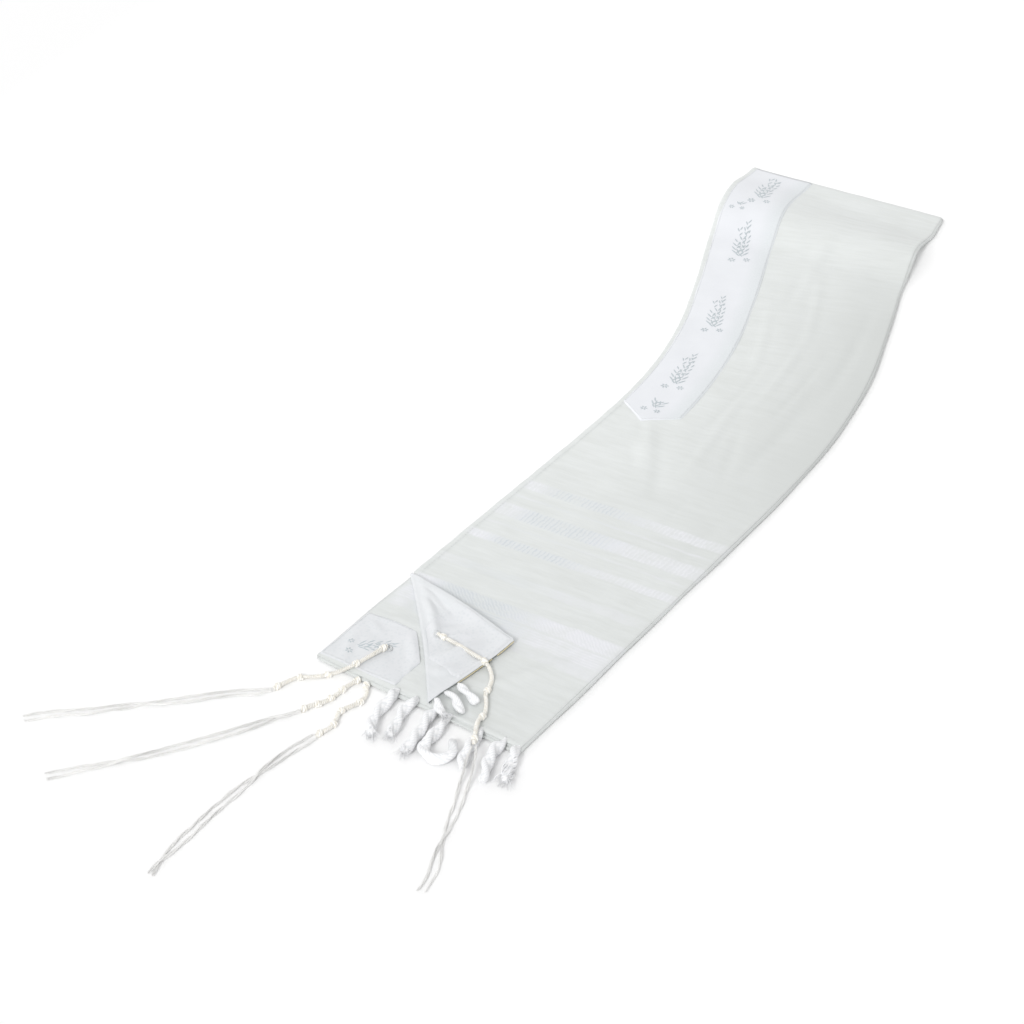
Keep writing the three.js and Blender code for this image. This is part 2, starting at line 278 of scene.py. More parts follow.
class Looks:
    """A material under way, with the few nodes that the finishes are made of."""

    def __init__(self, name: str) -> None:
        """Starts it with a Principled shader, joined to the output."""
        self.material = bpy.data.materials.new(name)
        self.material.use_nodes = True
        self.tree = self.material.node_tree
        self.tree.nodes.clear()
        self.shader = self.add("BsdfPrincipled")
        self.add("OutputMaterial", Surface=self.shader.outputs["BSDF"])

    def feed(self, node: bpy.types.Node, key: str, value: object) -> None:
        """Sets one input, by its name with underscores for spaces, or by i and its number."""
        by_number = key[0] == "i" and key[1:].isdigit()
        socket = node.inputs[int(key[1:]) if by_number else key.replace("_", " ")]
        if isinstance(value, Socket):
            self.tree.links.new(value, socket)
        else:
            socket.default_value = value

    def add(self, kind: str, settings: dict | None = None, **inputs: object) -> bpy.types.Node:
        """Adds one node with its settings and links.

        Args:
            kind: the node's type name without its ShaderNode prefix.
            settings: properties of the node itself.
            **inputs: what each input is fed, a value or an output.

        Returns:
            The node.
        """
        node = self.tree.nodes.new("ShaderNode" + kind)
        for key, value in (settings or {}).items():
            setattr(node, key, value)
        for key, value in inputs.items():
            self.feed(node, key, value)
        return node

    def finish(self, **inputs: object) -> Material:
        """Feeds the shader's own inputs and gives the material."""
        for key, value in inputs.items():
            self.feed(self.shader, key, value)
        return self.material

    def cloth(self) -> Socket:
        """The cloth's own coordinates in millimetres: along it in X and across it in Y."""
        uv = self.add("UVMap", {"uv_map": "cloth"}).outputs["UV"]
        return self.add("VectorMath", {"operation": "SCALE"}, Vector=uv, Scale=1000.0).outputs["Vector"]

    def stretched(self, place: Socket, x: float, y: float) -> Socket:
        """Coordinates drawn out along one way of the cloth."""
        return self.add("Mapping", Vector=place, Scale=(x, y, 1.0)).outputs["Vector"]

    def calc(self, operation: str, a: object, b: object = 0.0) -> Socket:
        """One sum on two numbers."""
        return self.add("Math", {"operation": operation}, i0=a, i1=b).outputs[0]

    def plus(self, a: object, b: object) -> Socket:
        """Two numbers added."""
        return self.calc("ADD", a, b)

    def times(self, first: object, *others: object) -> Socket:
        """Numbers multiplied together."""
        for other in others:
            first = self.calc("MULTIPLY", first, other)
        return first

    def wave(self, place: Socket, length: float) -> Socket:
        """A sine wave of this length along a coordinate."""
        return self.calc("SINE", self.times(place, math.tau / length))

    def noise(self, place: Socket, scale: float, detail: float = 2.0, roughness: float = 0.5) -> Socket:
        """Soft noise, from 0 to 1."""
        made = self.add("TexNoise", Vector=place, Scale=scale, Detail=detail, Roughness=roughness)
        return made.outputs["Fac"]

    def fade(self, value: object, low: float, high: float, at_low: float = 0.0,
             at_high: float = 1.0) -> Socket:
        """Maps a value's range onto another one, held at both ends."""
        made = self.add("MapRange", Value=value, From_Min=low, From_Max=high, To_Min=at_low, To_Max=at_high)
        return made.outputs["Result"]

    def mix(self, share: object, first: object, second: object) -> Socket:
        """A colour between two, each a hex code or an output: the first at 0, the second at 1."""
        near, far = (colour(c) if isinstance(c, str) else c for c in (first, second))
        return self.add("Mix", {"data_type": "RGBA"}, i0=share, i6=near, i7=far).outputs[2]

    def bump(self, height: Socket, distance: float, strength: float) -> Socket:
        """A normal roughened by a height, its full depth given in metres."""
        return self.add("Bump", Height=height, Distance=distance, Strength=strength).outputs["Normal"]


class Weave(Enum):
    """How a woven band of the cloth differs from its ground."""

    SATIN = "satin"
    RUNGS = "rungs"
    RIBBED = "ribbed"
    HATCH = "hatch"


@dataclass(frozen=True)
class Band:
    """A woven band across the cloth, from its edge nearer the fringe."""

    start: float
    end: float
    weave: Weave
    strength: float = 1.0


BANDS = (
    Band(108, 122, Weave.SATIN, 0.8),
    Band(123, 145, Weave.RIBBED),
    Band(147, 166, Weave.HATCH),
    Band(196, 209, Weave.SATIN, 0.55),
    Band(246, 258, Weave.RUNGS),
    Band(275, 278, Weave.SATIN, 0.6),
    Band(290, 311, Weave.RUNGS),
    Band(326, 329, Weave.SATIN, 0.6),
    Band(342, 357, Weave.RUNGS),
)
BAND_SCALE = 400.0
BAND_EDGE = 2.4              # millimetres over which a band comes in and goes out
WAVE_TEXTURE_TURN = 20.0     # radians in one unit of the wave texture at scale 1
BLACK = (0, 0, 0, 1)


def band_ramp(looks: Looks, place: Socket, weave: Weave) -> Socket:
    """How much a point lies in the bands of one weave, from 0 to 1.

    Args:
        looks: the material.
        place: millimetres along the cloth as a share of BAND_SCALE.
        weave: the weave that counts.

    Returns:
        The ramp's output.
    """
    ramp = looks.add("ValToRGB", Fac=place)
    stops = ramp.color_ramp.elements
    stops[0].position, stops[0].color = 0.0, BLACK
    stops[1].position, stops[1].color = 1.0, BLACK
    for band in (b for b in BANDS if b.weave is weave):
        half = min(BAND_EDGE, 0.3 * (band.end - band.start)) / 2
        for at, level in ((band.start - half, 0), (band.start + half, 1),
                          (band.end - half, 1), (band.end + half, 0)):
            stop = stops.new(at / BAND_SCALE)
            shade = level * band.strength
            stop.color = (shade, shade, shade, 1)
    return ramp.outputs["Color"]


@dataclass(frozen=True)
class ShawlCloth:
    """Acrylic and rayon plain weave with satin bands, woven white on white.

    The ground is matt and a little grey; the bands float rayon over it, so they catch the light: their sheen
    and shade, and a shade on the ground, are painted into the colour.
    """

    name: str = "shawl cloth"
    ground: str = "#dee1e0"
    shade: str = "#d5d8d6"
    in_shade: str = "#d9dde0"     # painted shade on the satin floats, where they lean away from the light
    in_light: str = "#e4e5ea"     # painted sheen on them, where they face it
    painted_shade_mark: str = "#bcc4cb"    # the dashes with painted shade, dark where the floats lean away
    painted_sheen_mark: str = "#eeeff3"   # the dashes with painted sheen, pale where they face it
    band_strength: float = 1.0
    thread: float = 1.4           # thread spacing, drawn coarser than the real 0.5 mm so that it shows
    rung: float = 4.4             # spacing of the dashes in a rung band
    rib: float = 3.6              # spacing of the ribs in the ribbed band
    slant: float = 2.1            # spacing of the slanting lines in the hatched band
    painted_shade: str = "#cacdcb"        # painted shade on the ground beyond the bands, darker towards the lengthwise fold
    weave_depth: float = 0.00012

    def figure(self, looks: Looks, mm: Socket, across: Socket, masks: dict[Weave, Socket]) -> Socket:
        """The dashes, ribs and slanting lines inside the bands, from 0 to 1.

        Args:
            looks: the material.
            mm: the cloth's coordinates.
            across: millimetres from the hemmed edge.
            masks: where each weave lies.

        Returns:
            The figure's output.
        """
        bent = looks.plus(across, looks.times(looks.noise(mm, 0.16), 5.0))
        broken = looks.noise(mm, 0.3)
        uneven = looks.times(broken, 1.5)
        rib = looks.add("TexWave", {"bands_direction": "X"}, Vector=mm,
                        Scale=math.tau / self.rib / WAVE_TEXTURE_TURN, Distortion=0.6)
        slant = looks.add("TexWave", {"bands_direction": "DIAGONAL"}, Vector=mm,
                          Scale=math.tau / self.slant / WAVE_TEXTURE_TURN, Distortion=5.0, Detail=3.0)
        rungs = looks.times(looks.wave(bent, self.rung), looks.times(broken, 1.3))
        ribs = looks.times(rib.outputs["Fac"], 0.6, uneven)
        slants = looks.times(slant.outputs["Fac"], 0.7, uneven)
        total = looks.times(masks[Weave.RUNGS], rungs)
        total = looks.plus(total, looks.times(masks[Weave.RIBBED], ribs))
        return looks.plus(total, looks.times(masks[Weave.HATCH], slants))

    def ground_colour(self, looks: Looks, mm: Socket, along: Socket, across: Socket) -> Socket:
        """The ground's colour: cloudy and streaked along the cloth, with a painted shade beyond the bands
        that deepens towards the lengthwise fold.
        """
        streaks = looks.noise(looks.stretched(mm, 1.0, 0.14), 0.14, 4.0, 0.7)
        cloudy = looks.plus(looks.noise(mm, 0.012, 3.0), looks.times(streaks, 2.4))
        ground = looks.mix(looks.calc("SUBTRACT", cloudy, 1.1), self.shade, self.ground)
        # Painted shade: beyond the bands the ground darkens towards the lengthwise fold.
        beyond = looks.times(looks.fade(along, 250.0, 520.0), looks.fade(along, 960.0, 780.0))
        painted_shade_share = looks.times(beyond, looks.fade(across, 70.0, 215.0))
        return looks.mix(looks.times(painted_shade_share, 0.8), ground, self.painted_shade)

    def band_strengths(self, looks: Looks, mm: Socket, across: Socket) -> Socket:
        """How plainly the bands show: patchy in places, and faint at the hem and near the fold."""
        mottle = looks.noise(mm, 0.09, 4.0, 0.65)
        clouds = looks.plus(looks.times(looks.noise(mm, 0.022), 0.5), looks.times(mottle, 0.5))
        patchy = looks.fade(clouds, 0.36, 0.62, 0.25, 1.1)
        hem, fold = looks.fade(across, 2.0, 8.0), looks.fade(across, 224.0, 206.0, 0.2)
        return looks.times(patchy, hem, fold, self.band_strength)

    def make(self) -> Material:
        """Builds the material."""
        looks = Looks(self.name)
        mm = looks.cloth()
        axes = looks.add("SeparateXYZ", Vector=mm)
        along, across = axes.outputs["X"], axes.outputs["Y"]
        waver = looks.add("TexNoise", {"noise_dimensions": "2D"}, Vector=mm, Scale=0.02, Detail=2.0)
        straight = looks.plus(along, looks.times(waver.outputs["Fac"], 1.6))
        share = looks.times(straight, 1 / BAND_SCALE)
        masks = {weave: band_ramp(looks, share, weave) for weave in Weave}
        in_band = masks[Weave.SATIN]
        for weave in (Weave.RUNGS, Weave.RIBBED, Weave.HATCH):
            in_band = looks.plus(in_band, masks[weave])

        strength = self.band_strengths(looks, mm, across)
        # Painted sheen and shade of the satin, by place across: lit near the hem up to about 18 mm and from
        # 150 mm on, shaded from 40 to 95 mm, easing between.
        painted_sheen_share = looks.calc("MAXIMUM", looks.fade(across, 95.0, 150.0), looks.fade(across, 40.0, 18.0))
        cover = looks.times(in_band, strength, 0.8)
        mark = looks.times(self.figure(looks, mm, across, masks), strength, 0.75)
        ground = self.ground_colour(looks, mm, along, across)
        banded = looks.mix(cover, ground, looks.mix(painted_sheen_share, self.in_shade, self.in_light))
        lit = looks.mix(mark, banded, looks.mix(painted_sheen_share, self.painted_shade_mark, self.painted_sheen_mark))

        woven = looks.times(looks.wave(across, self.thread), looks.wave(along, self.thread), 0.3)
        slub = looks.noise(looks.stretched(mm, 0.35, 1.0), 0.25, 3.0)
        height = looks.plus(looks.plus(woven, looks.times(mark, 1.6)), slub)
        gloss = looks.fade(cover, 0.0, 1.0, 0.62, 0.42)
        return looks.finish(Base_Color=lit, Roughness=gloss, Sheen_Weight=0.2, Sheen_Roughness=0.5,
                            Specular_IOR_Level=0.4,
                            Normal=looks.bump(height, self.weave_depth, 0.8))


@dataclass(frozen=True)
class SmoothSatin:
    """Polyester satin, woven so that long floats lie side by side: smooth, with a soft even gloss."""

    name: str
    face: str
    shade: str
    roughness: float = 0.38
    figure: float = 0.0      # how strongly a small woven leaf ground shows
    border: tuple[float, float] = (900.0, 910.0)    # where a flecked border begins and is full, across
    leaf: str = "#c5ccd0"    # the small woven leaves of the ground
    fleck: str = "#d3d9da"   # the flecks of the border
    float_depth: float = 0.00008

    def make(self) -> Material:
        """Builds the material."""
        looks = Looks(self.name)
        mm = looks.cloth()
        base = looks.mix(looks.noise(mm, 0.03), self.shade, self.face)
        leaf = looks.add("TexVoronoi", {"feature": "F1"}, Vector=mm, Scale=0.28, Randomness=0.85)
        mark = looks.fade(leaf.outputs["Distance"], 0.25, 0.5, self.figure, 0.0)
        figured = looks.mix(mark, base, self.leaf)
        side = looks.add("SeparateXYZ", Vector=mm).outputs["Y"]
        flecked = looks.times(looks.fade(side, *self.border), looks.noise(mm, 0.5))
        floats = looks.noise(looks.stretched(mm, 0.15, 1.6), 0.9, 3.0)
        normal = looks.bump(looks.plus(floats, mark), self.float_depth, 0.6)
        return looks.finish(Base_Color=looks.mix(flecked, figured, self.fleck), Roughness=self.roughness,
                            Sheen_Weight=0.15, Normal=normal)


@dataclass(frozen=True)
class Yarn:
    """Spun yarn with a visible twist and a soft, slightly hairy face, with painted shade in the grooves
    between its plies.
    """

    name: str
    face: str
    # painted shade: the colour in the grooves between the plies
    painted_groove_shade: str
    twist: float            # length of one turn of the plies
    roughness: float = 0.8
    ply_depth: float = 0.00025

    def make(self) -> Material:
        """Builds the material."""
        looks = Looks(self.name)
        mm = looks.cloth()
        axes = looks.add("SeparateXYZ", Vector=mm)
        turn = looks.times(axes.outputs["X"], math.tau / self.twist)
        ply = looks.calc("SINE", looks.plus(turn, looks.times(axes.outputs["Y"], math.tau * 2)))
        mixed = looks.times(looks.fade(ply, -1.0, 0.2), looks.plus(looks.noise(mm, 1.5, 3.0), 0.5))
        return looks.finish(Base_Color=looks.mix(mixed, self.painted_groove_shade, self.face), Roughness=self.roughness,
                            Sheen_Weight=0.3, Normal=looks.bump(mixed, self.ply_depth, 0.7))


@dataclass(frozen=True)
class PaperSweep:
    """Matt white studio paper: even, with no gloss."""

    face: str = "#fefefe"
    grain: str = "#fcfcfc"

    def make(self) -> Material:
        """Builds the material."""
        looks = Looks("studio paper")
        grain = looks.add("TexNoise", Scale=3.0, Detail=2.0).outputs["Fac"]
        return looks.finish(Base_Color=looks.mix(grain, self.face, self.grain), Roughness=0.95)


@dataclass
class Finishes:
    """Every finish, made once."""

    cloth: Material = field(default_factory=lambda: ShawlCloth().make())
    neckband: Material = field(
        default_factory=lambda: SmoothSatin(
            "neckband satin", "#e7e9ed", "#dee0e4", border=(50.0, 64.0)).make())
    patch: Material = field(
        default_factory=lambda: SmoothSatin("patch satin", "#e2e3e6", "#d9dcde", 0.42, 0.22).make())
    sprig: Material = field(
        default_factory=lambda: SmoothSatin("silver sprig floats", "#c3cbcf", "#aeb8bc", 0.3).make())
    fringe: Material = field(
        default_factory=lambda: Yarn("fringe roving", "#f9f9fa", "#eaecee", 9.0).make())
    # The wound cord is the same wool as the loose strands; its creamier, darker colours are a painted shade.
    wool: Material = field(
        default_factory=lambda: Yarn("tzitzit wool cord, wound", "#fbfaf6", "#eae5d9", 5.2).make())
    loose_wool: Material = field(
        default_factory=lambda: Yarn("tzitzit wool cord, loose", "#fdfdfc", "#f1f0ed", 5.2).make())
    thread: Material = field(
        default_factory=lambda: Yarn("sewing thread", "#eceeef", "#dadddd", 1.2, 0.6).make())
    wrong_side: Material = field(
        default_factory=lambda: ShawlCloth(
            "shawl cloth, wrong side", "#e1e3e5", "#d9dcde", band_strength=0.5).make())
    # painted shadow: the gold of the thread along the turned corner's fringed side stands for the contact
    # shadow there
    shadow_edging: Material = field(
        default_factory=lambda: Yarn("ivory edging thread", "#eee2bd", "#e0cf9c", 3.0, 0.7).make())
    paper: Material = field(default_factory=lambda: PaperSweep().make())


# ---- Mesh helpers ---------------------------------------------------------------------
def put_mesh(name: str, vertices: Array, faces: list, uv: Array | None, material: Material) -> Piece:
    """Makes an object from frame points and faces.

    Args:
        name: the piece's name.
        vertices: frame places in metres.
        faces: the vertices of each face.
        uv: the cloth coordinates of each vertex in metres, or None.
        material: its finish.

    Returns:
        The object, with smooth faces.
    """
    mesh = bpy.data.meshes.new(name)
    mesh.from_pydata([tuple(v) for v in np.asarray(vertices, float)], [], faces)
    if uv is not None:
        layer = mesh.uv_layers.new(name="cloth")
        index = np.zeros(len(mesh.loops), np.int32)
        mesh.loops.foreach_get("vertex_index", index)
        layer.data.foreach_set("uv", np.asarray(uv, float)[index].ravel())
    mesh.materials.append(material)
    mesh.shade_smooth()
    piece = bpy.data.objects.new(name, mesh)
    bpy.context.scene.collection.objects.link(piece)
    return piece


def grid_faces(rows: int, columns: int, start: int = 0, ring: bool = False) -> list[tuple[int, ...]]:
    """Faces of a grid of points, facing up where columns run across and rows along.

    Args:
        rows: how many rows of points.
        columns: how many points in a row.
        start: number of the first point.
        ring: whether each row closes on itself.

    Returns:
        Four-cornered faces.
    """
    faces = []
    for i in range(rows - 1):
        for j in range(columns if ring else columns - 1):
            k = (j + 1) % columns
            a, b = start + i * columns + j, start + i * columns + k
            faces.append((a, b, b + columns, a + columns))
    return faces


def sheet_piece(name: str, points: Array, uv: Array, thickness: float, material: Material) -> Piece:
    """A thin shell of cloth from a grid of points on its upper face.

    Args:
        name: the piece's name.
        points: rows by columns of frame places.
        uv: rows by columns of cloth coordinates in millimetres.
        thickness: the cloth's thickness in millimetres, downwards.
        material: its finish.

    Returns:
        The shell.
    """
    rows, columns = points.shape[:2]
    faces = grid_faces(rows, columns)
    piece = put_mesh(name, points.reshape(-1, 3), faces, uv.reshape(-1, 2) * MM, material)
    shell = piece.modifiers.new("thickness", "SOLIDIFY")
    shell.thickness = thickness * MM
    shell.offset = -1
    return piece


def steps(line: Array) -> Array:
    """Distances from each point of a line to the next."""
    return np.linalg.norm(np.diff(line, axis=0), axis=1)


def run_along(line: Array) -> Array:
    """Distance along a line to each of its points."""
    return np.concatenate([[0], np.cumsum(steps(line))])


def points_at(marks: Array, at: Array, line: Array) -> Array:
    """Points of a line at marks, on the scale on which its own points lie at these places."""
    return np.stack([np.interp(marks, at, line[:, k]) for k in range(3)], axis=1)


def around(side: Array, up: Array, turn: Array) -> Array:
    """Directions square to a line, turned by an angle at each of its points."""
    return side * np.cos(turn)[:, None] + up * np.sin(turn)[:, None]


@dataclass
class Batch:
    """Many small closed or open strips gathered into one mesh."""

    vertices: list = field(default_factory=list)
    faces: list = field(default_factory=list)
    uv: list = field(default_factory=list)
    count: int = 0

    def add(self, points: Array, faces: list, uv: Array) -> None:
        """Adds one shape, its faces numbered from zero."""
        self.vertices.append(points)
        self.uv.append(uv)
        self.faces += [tuple(self.count + i for i in face) for face in faces]
        self.count += len(points)

    def tube(self, line: Array, radius: Array, sides: int, phase: float = 0.0) -> None:
        """Adds a round tube along a line in plan millimetres.

        Args:
            line: the points of its middle.
            radius: its radius at each point, or one for all.
            sides: points in a ring.
            phase: turn of the plies' start, as a share of a turn.
        """
        line = np.asarray(line, float)
        radius = np.broadcast_to(np.asarray(radius, float), (len(line),))
        ahead = np.gradient(line, axis=0)
        ahead /= np.maximum(np.linalg.norm(ahead, axis=1, keepdims=True), 1e-9)
        side = np.zeros_like(line)
        last = np.cross(ahead[0], (0.0, 0.0, 1.0))
        if np.linalg.norm(last) < 0.1:
            last = np.cross(ahead[0], (0.0, 1.0, 0.0))
        for i, d in enumerate(ahead):
            last = last - d * (last @ d)
            last = last / max(np.linalg.norm(last), 1e-9)
            side[i] = last
        up = np.cross(side, ahead)
        turn = np.arange(sides) * math.tau / sides
        ring = side[:, None] * np.cos(turn)[None, :, None] + up[:, None] * np.sin(turn)[None, :, None]
        points = line[:, None] + ring * radius[:, None, None]
        uv = np.stack(np.broadcast_arrays(run_along(line)[:, None], (turn / math.tau + phase)[None]), -1)
        n = len(line)
        faces = [tuple(reversed(f)) for f in grid_faces(n, sides, ring=True)]
        faces.append(tuple(range(sides)))
        faces.append(tuple(reversed(range((n - 1) * sides, n * sides))))
        self.add(points.reshape(-1, 3), faces, uv.reshape(-1, 2))

    def build(self, name: str, material: Material) -> Piece:
        """Makes the piece."""
        vertices = to_frame(np.concatenate(self.vertices))
        return put_mesh(name, vertices, self.faces, np.concatenate(self.uv) * MM, material)


def curve_through(points: Array, step: float) -> Array:
    """A smooth line through points.

    Args:
        points: plan places in millimetres.
        step: spacing of the line's points.

    Returns:
        Points of a centripetal spline, evenly spaced.
    """
    p = np.asarray(points, float)
    p = np.concatenate([[2 * p[0] - p[1]], p, [2 * p[-1] - p[-2]]])
    knots = np.concatenate([[0], np.cumsum(steps(p) ** 0.5)])
    out = []
    for i in range(1, len(p) - 2):
        t0, t1, t2, t3 = knots[i - 1:i + 3]
        for t in np.linspace(t1, t2, 24, endpoint=False):
            a1 = p[i - 1] + (p[i] - p[i - 1]) * (t - t0) / (t1 - t0)
            a2 = p[i] + (p[i + 1] - p[i]) * (t - t1) / (t2 - t1)
            a3 = p[i + 1] + (p[i + 2] - p[i + 1]) * (t - t2) / (t3 - t2)
            b1 = a1 + (a2 - a1) * (t - t0) / (t2 - t0)
            b2 = a2 + (a3 - a2) * (t - t1) / (t3 - t1)
            out.append(b1 + (b2 - b1) * (t - t1) / (t2 - t1))
    out.append(p[-2])
    return spaced(np.array(out), step)


def spaced(line: Array, step: float) -> Array:
    """The line again, with points evenly spaced about step apart."""
    at = run_along(line)
    return points_at(np.linspace(0, at[-1], max(3, int(round(at[-1] / step)) + 1)), at, line)


def frames(line: Array) -> tuple[Array, Array]:
    """Level side and up directions at each point of a line."""
    ahead = np.gradient(line, axis=0)
    ahead /= np.maximum(np.linalg.norm(ahead, axis=1, keepdims=True), 1e-9)
    side = np.cross(ahead, (0.0, 0.0, 1.0))
    side /= np.maximum(np.linalg.norm(side, axis=1, keepdims=True), 1e-9)
    return side, np.cross(side, ahead)


def place(piece: Piece, slot: str, *nodes: str) -> Piece:
    """Rides a piece on the shawl, and has it stand for CAD nodes."""
    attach(piece, "root")
    if nodes:
        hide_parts(*nodes)
    LOG.info("%s: %d vertices", piece.name, len(piece.data.vertices))
    return piece


# ---- Camera, light and floor ----------------------------------------------------------
def downward(heading: float, dip: float) -> Array:
    """The direction that heads this way in plan, from +X towards +Y, and dips below level."""
    return np.array([math.cos(heading) * math.cos(dip), math.sin(heading) * math.cos(dip), -math.sin(dip)])


@dataclass(frozen=True)
class ShotCamera:
    """A long lens high over the fringed end, looking down the strip."""

    place: tuple[float, float, float] = (-1690.95, -1245.25, 1589.0)
    heading: float = 31.770
    down: float = 34.304
    roll: float = 2.0886
    lens: float = 103.42
    shift: tuple[float, float] = (0.0015, 0.0031)     # of the picture's width, to the right and up
    sensor: float = 36.0
    near: float = 0.05
    far: float = 60.0

    def build(self) -> None:
        """Makes the camera the scene's own."""
        turn, dip, roll = (math.radians(a) for a in (self.heading, self.down, self.roll))
        forward = downward(turn, dip)
        level = np.array([math.sin(turn), -math.cos(turn), 0.0])
        upright = np.cross(level, forward)
        right = math.cos(roll) * level + math.sin(roll) * upright
        up = math.cos(roll) * upright - math.sin(roll) * level
        data = bpy.data.cameras.new("shot")
        data.lens, data.sensor_width = self.lens, self.sensor
        data.clip_start, data.clip_end = self.near, self.far
        data.shift_x, data.shift_y = self.shift
        camera = bpy.data.objects.new("shot", data)
        axes = np.eye(4)
        axes[:3, 0], axes[:3, 1], axes[:3, 2], axes[:3, 3] = right, up, -forward, to_frame(self.place)
        camera.matrix_world = Matrix(axes.tolist())
        bpy.context.scene.collection.objects.link(camera)
        bpy.context.scene.camera = camera


@dataclass(frozen=True)
class Studio:
    """Even white surroundings and one broad soft light, low from the left of the fringed end."""

    ambient: float = 0.755
    key: float = 1.45
    softness: float = 16.0
    height: float = 34.0
    heading: float = 8.0      # the way the light travels, from +X towards +Y
    floor: float = 44.0
    fill_power: float = 1.5
    fill_place: tuple[float, float, float] = (620.0, 620.0, 420.0)
    fill_size: float = 0.9
    fill_turn: tuple[float, float, float] = (-52, 0, 8)

    def build(self, finishes: Finishes) -> None:
        """Makes the surroundings, the light and the floor."""
        world = bpy.data.worlds.new("studio")
        world.use_nodes = True
        back = world.node_tree.nodes["Background"]
        back.inputs["Color"].default_value = (1, 1, 1, 1)
        back.inputs["Strength"].default_value = self.ambient
        scene = bpy.context.scene
        scene.world = world
        scene.view_settings.view_transform = "Standard"
        light = bpy.data.lights.new("key", "SUN")
        light.energy, light.angle = self.key, math.radians(self.softness)
        lamp = bpy.data.objects.new("key", light)
        turn, rise = math.radians(self.heading), math.radians(self.height)
        back_to_light = -downward(turn, rise)
        side = np.cross((0.0, 0.0, 1.0), back_to_light)
        side /= np.linalg.norm(side)
        axes = np.eye(4)
        axes[:3, 0], axes[:3, 1], axes[:3, 2] = side, np.cross(back_to_light, side), back_to_light
        axes[:3, 3] = (0, 0, 2)
        lamp.matrix_world = Matrix(axes.tolist())
        scene.collection.objects.link(lamp)
        fill = bpy.data.lights.new("fill", "AREA")
        fill.energy, fill.shape, fill.size = self.fill_power, "DISK", self.fill_size
        fill_lamp = bpy.data.objects.new("fill", fill)
        fill_lamp.location = to_frame(self.fill_place)
        fill_lamp.rotation_euler = tuple(math.radians(a) for a in self.fill_turn)
        scene.collection.objects.link(fill_lamp)
        half = self.floor / 2
        corners = [(-half, -half, 0), (half, -half, 0), (half, half, 0), (-half, half, 0)]
        floor = put_mesh("floor", np.array(corners), [(0, 1, 2, 3)], None, finishes.paper)


# ---- Corner tassels -------------------------------------------------------------------
@dataclass(frozen=True)
class CornerTassel:
    """One tzitzit: a wound and knotted part from its eyelet, then eight loose strands."""

    number: int
    knots: tuple[tuple[float, float, float], ...]
    strands: tuple[tuple[float, float, float], ...]
    wind_pitch: float = 1.7
    wind_cord: float = 0.62
    core: float = 1.25
    knots_tied: int = 5
    knot_cord: float = 1.15
    knot_reach: float = 2.3        # from a knot's middle to its end, along the tassel
    knot_turns: float = 2.2
    strand_count: int = 8
    ply: float = 0.34
    ply_pitch: float = 4.4
    bundle_apart: float = 3.4      # the strands fall in two bundles, which cross and part
    bundle_twist: float = 0.7
    sunk: float = -2.1             # how the lower bundle lies below the route's own height
    crossing_lift: float = 2.4     # how much higher the other one lies where they cross

    def wound_part(self, finishes: Finishes) -> Piece:
        """Builds the wound part: a core, one strand wound round it, and five double knots."""
        line = curve_through(self.knots, 1.0)
        batch = Batch()
        batch.tube(line, self.core, 8)
        reach = steps(line).sum()
        turns = reach / self.wind_pitch
        at = np.linspace(0, 1, int(turns * 11))
        share = np.linspace(0, 1, len(line))
        fine = points_at(at, share, line)
        side, up = frames(fine)
        angle = at * turns * math.tau
        loose = 1.0 + 0.10 * np.sin(at * reach / 9.0 + self.number)
        radius = (self.core + 0.25) * loose
        ring = fine + around(side, up, angle) * radius[:, None]
        batch.tube(ring, self.wind_cord, 6)
        for knot in range(self.knots_tied):
            middle = 0.04 + 0.92 * (knot / (self.knots_tied - 1)) ** 0.85
            span = np.linspace(middle - self.knot_reach / reach, middle + self.knot_reach / reach, 26)
            centre = points_at(span, share, line)
            across, over = frames(centre)
            turn = np.linspace(0, self.knot_turns * math.tau, 26) + knot
            wrap = centre + around(across, over, turn) * (self.core + 0.95)
            batch.tube(wrap, self.knot_cord, 8)
        return batch.build(f"tzitzit_{self.number}_wound", finishes.wool)

    def loose_part(self, finishes: Finishes) -> Piece:
        """Builds the loose strands, each of two plies, uneven at their ends."""
        line = curve_through(self.strands, 0.8)
        side, up = frames(line)
        reach = steps(line).sum()
        run = np.linspace(0, reach, len(line))
        rng = np.random.default_rng(70 + self.number)
        batch = Batch()
        open_out = 0.72 + 0.28 * smooth(run / 14)
        open_out = open_out * (1 + 0.15 * np.sin(run / 31 + self.number * 1.7) ** 2)
        apart = np.tanh(2.0 * np.cos(run / 44 + self.number * 2.1)) * open_out
        for strand in range(self.strand_count):
            bundle = 1 - 2 * (strand % 2)
            twist = run / rng.uniform(38, 46) * math.tau + (strand // 2) * math.tau / 4
            centre = self.bundle_apart * apart + 0.22 * np.sin(run / 15 + strand * 1.9)
            lifted = self.sunk + (bundle > 0) * self.crossing_lift * (1 - np.abs(apart))
            sideways = bundle * centre + self.bundle_twist * np.cos(twist) * open_out
            height = lifted + self.bundle_twist * np.sin(twist)
            middle = line + side * sideways[:, None] + up * height[:, None]
            keep = len(line) - int(rng.uniform(0, 5) / 0.8) * (strand > 5)
            turn = run / self.ply_pitch * math.tau + rng.uniform(0, 6)
            for half in (0.0, math.pi):
                ply = (middle + around(side, up, turn + half) * self.ply * 0.92)[:keep]
                thin = np.full(keep, self.ply)
                thin[-4:] *= (0.9, 0.75, 0.55, 0.3)
                batch.tube(ply, thin, 6, strand * 0.13)
        return batch.build(f"tzitzit_{self.number}_loose", finishes.loose_wool)

    def build(self, finishes: Finishes) -> None:
        wound = place(self.wound_part(finishes), "tzitzit_yarn", f"tzitzit_{self.number}_knots")
        loose = place(self.loose_part(finishes), "tzitzit_yarn", f"tzitzit_{self.number}_strands")
        for piece, route, width, far_end in ((wound, self.knots, KNOT_WIDTH, "knot"),
                                             (loose, self.strands, STRANDS_WIDTH, "bare")):
            line = to_frame(curve_through(route, 4.0))
            length = float(steps(line).sum())
            first = to_frame(route[0] if piece is wound else self.knots[-1])


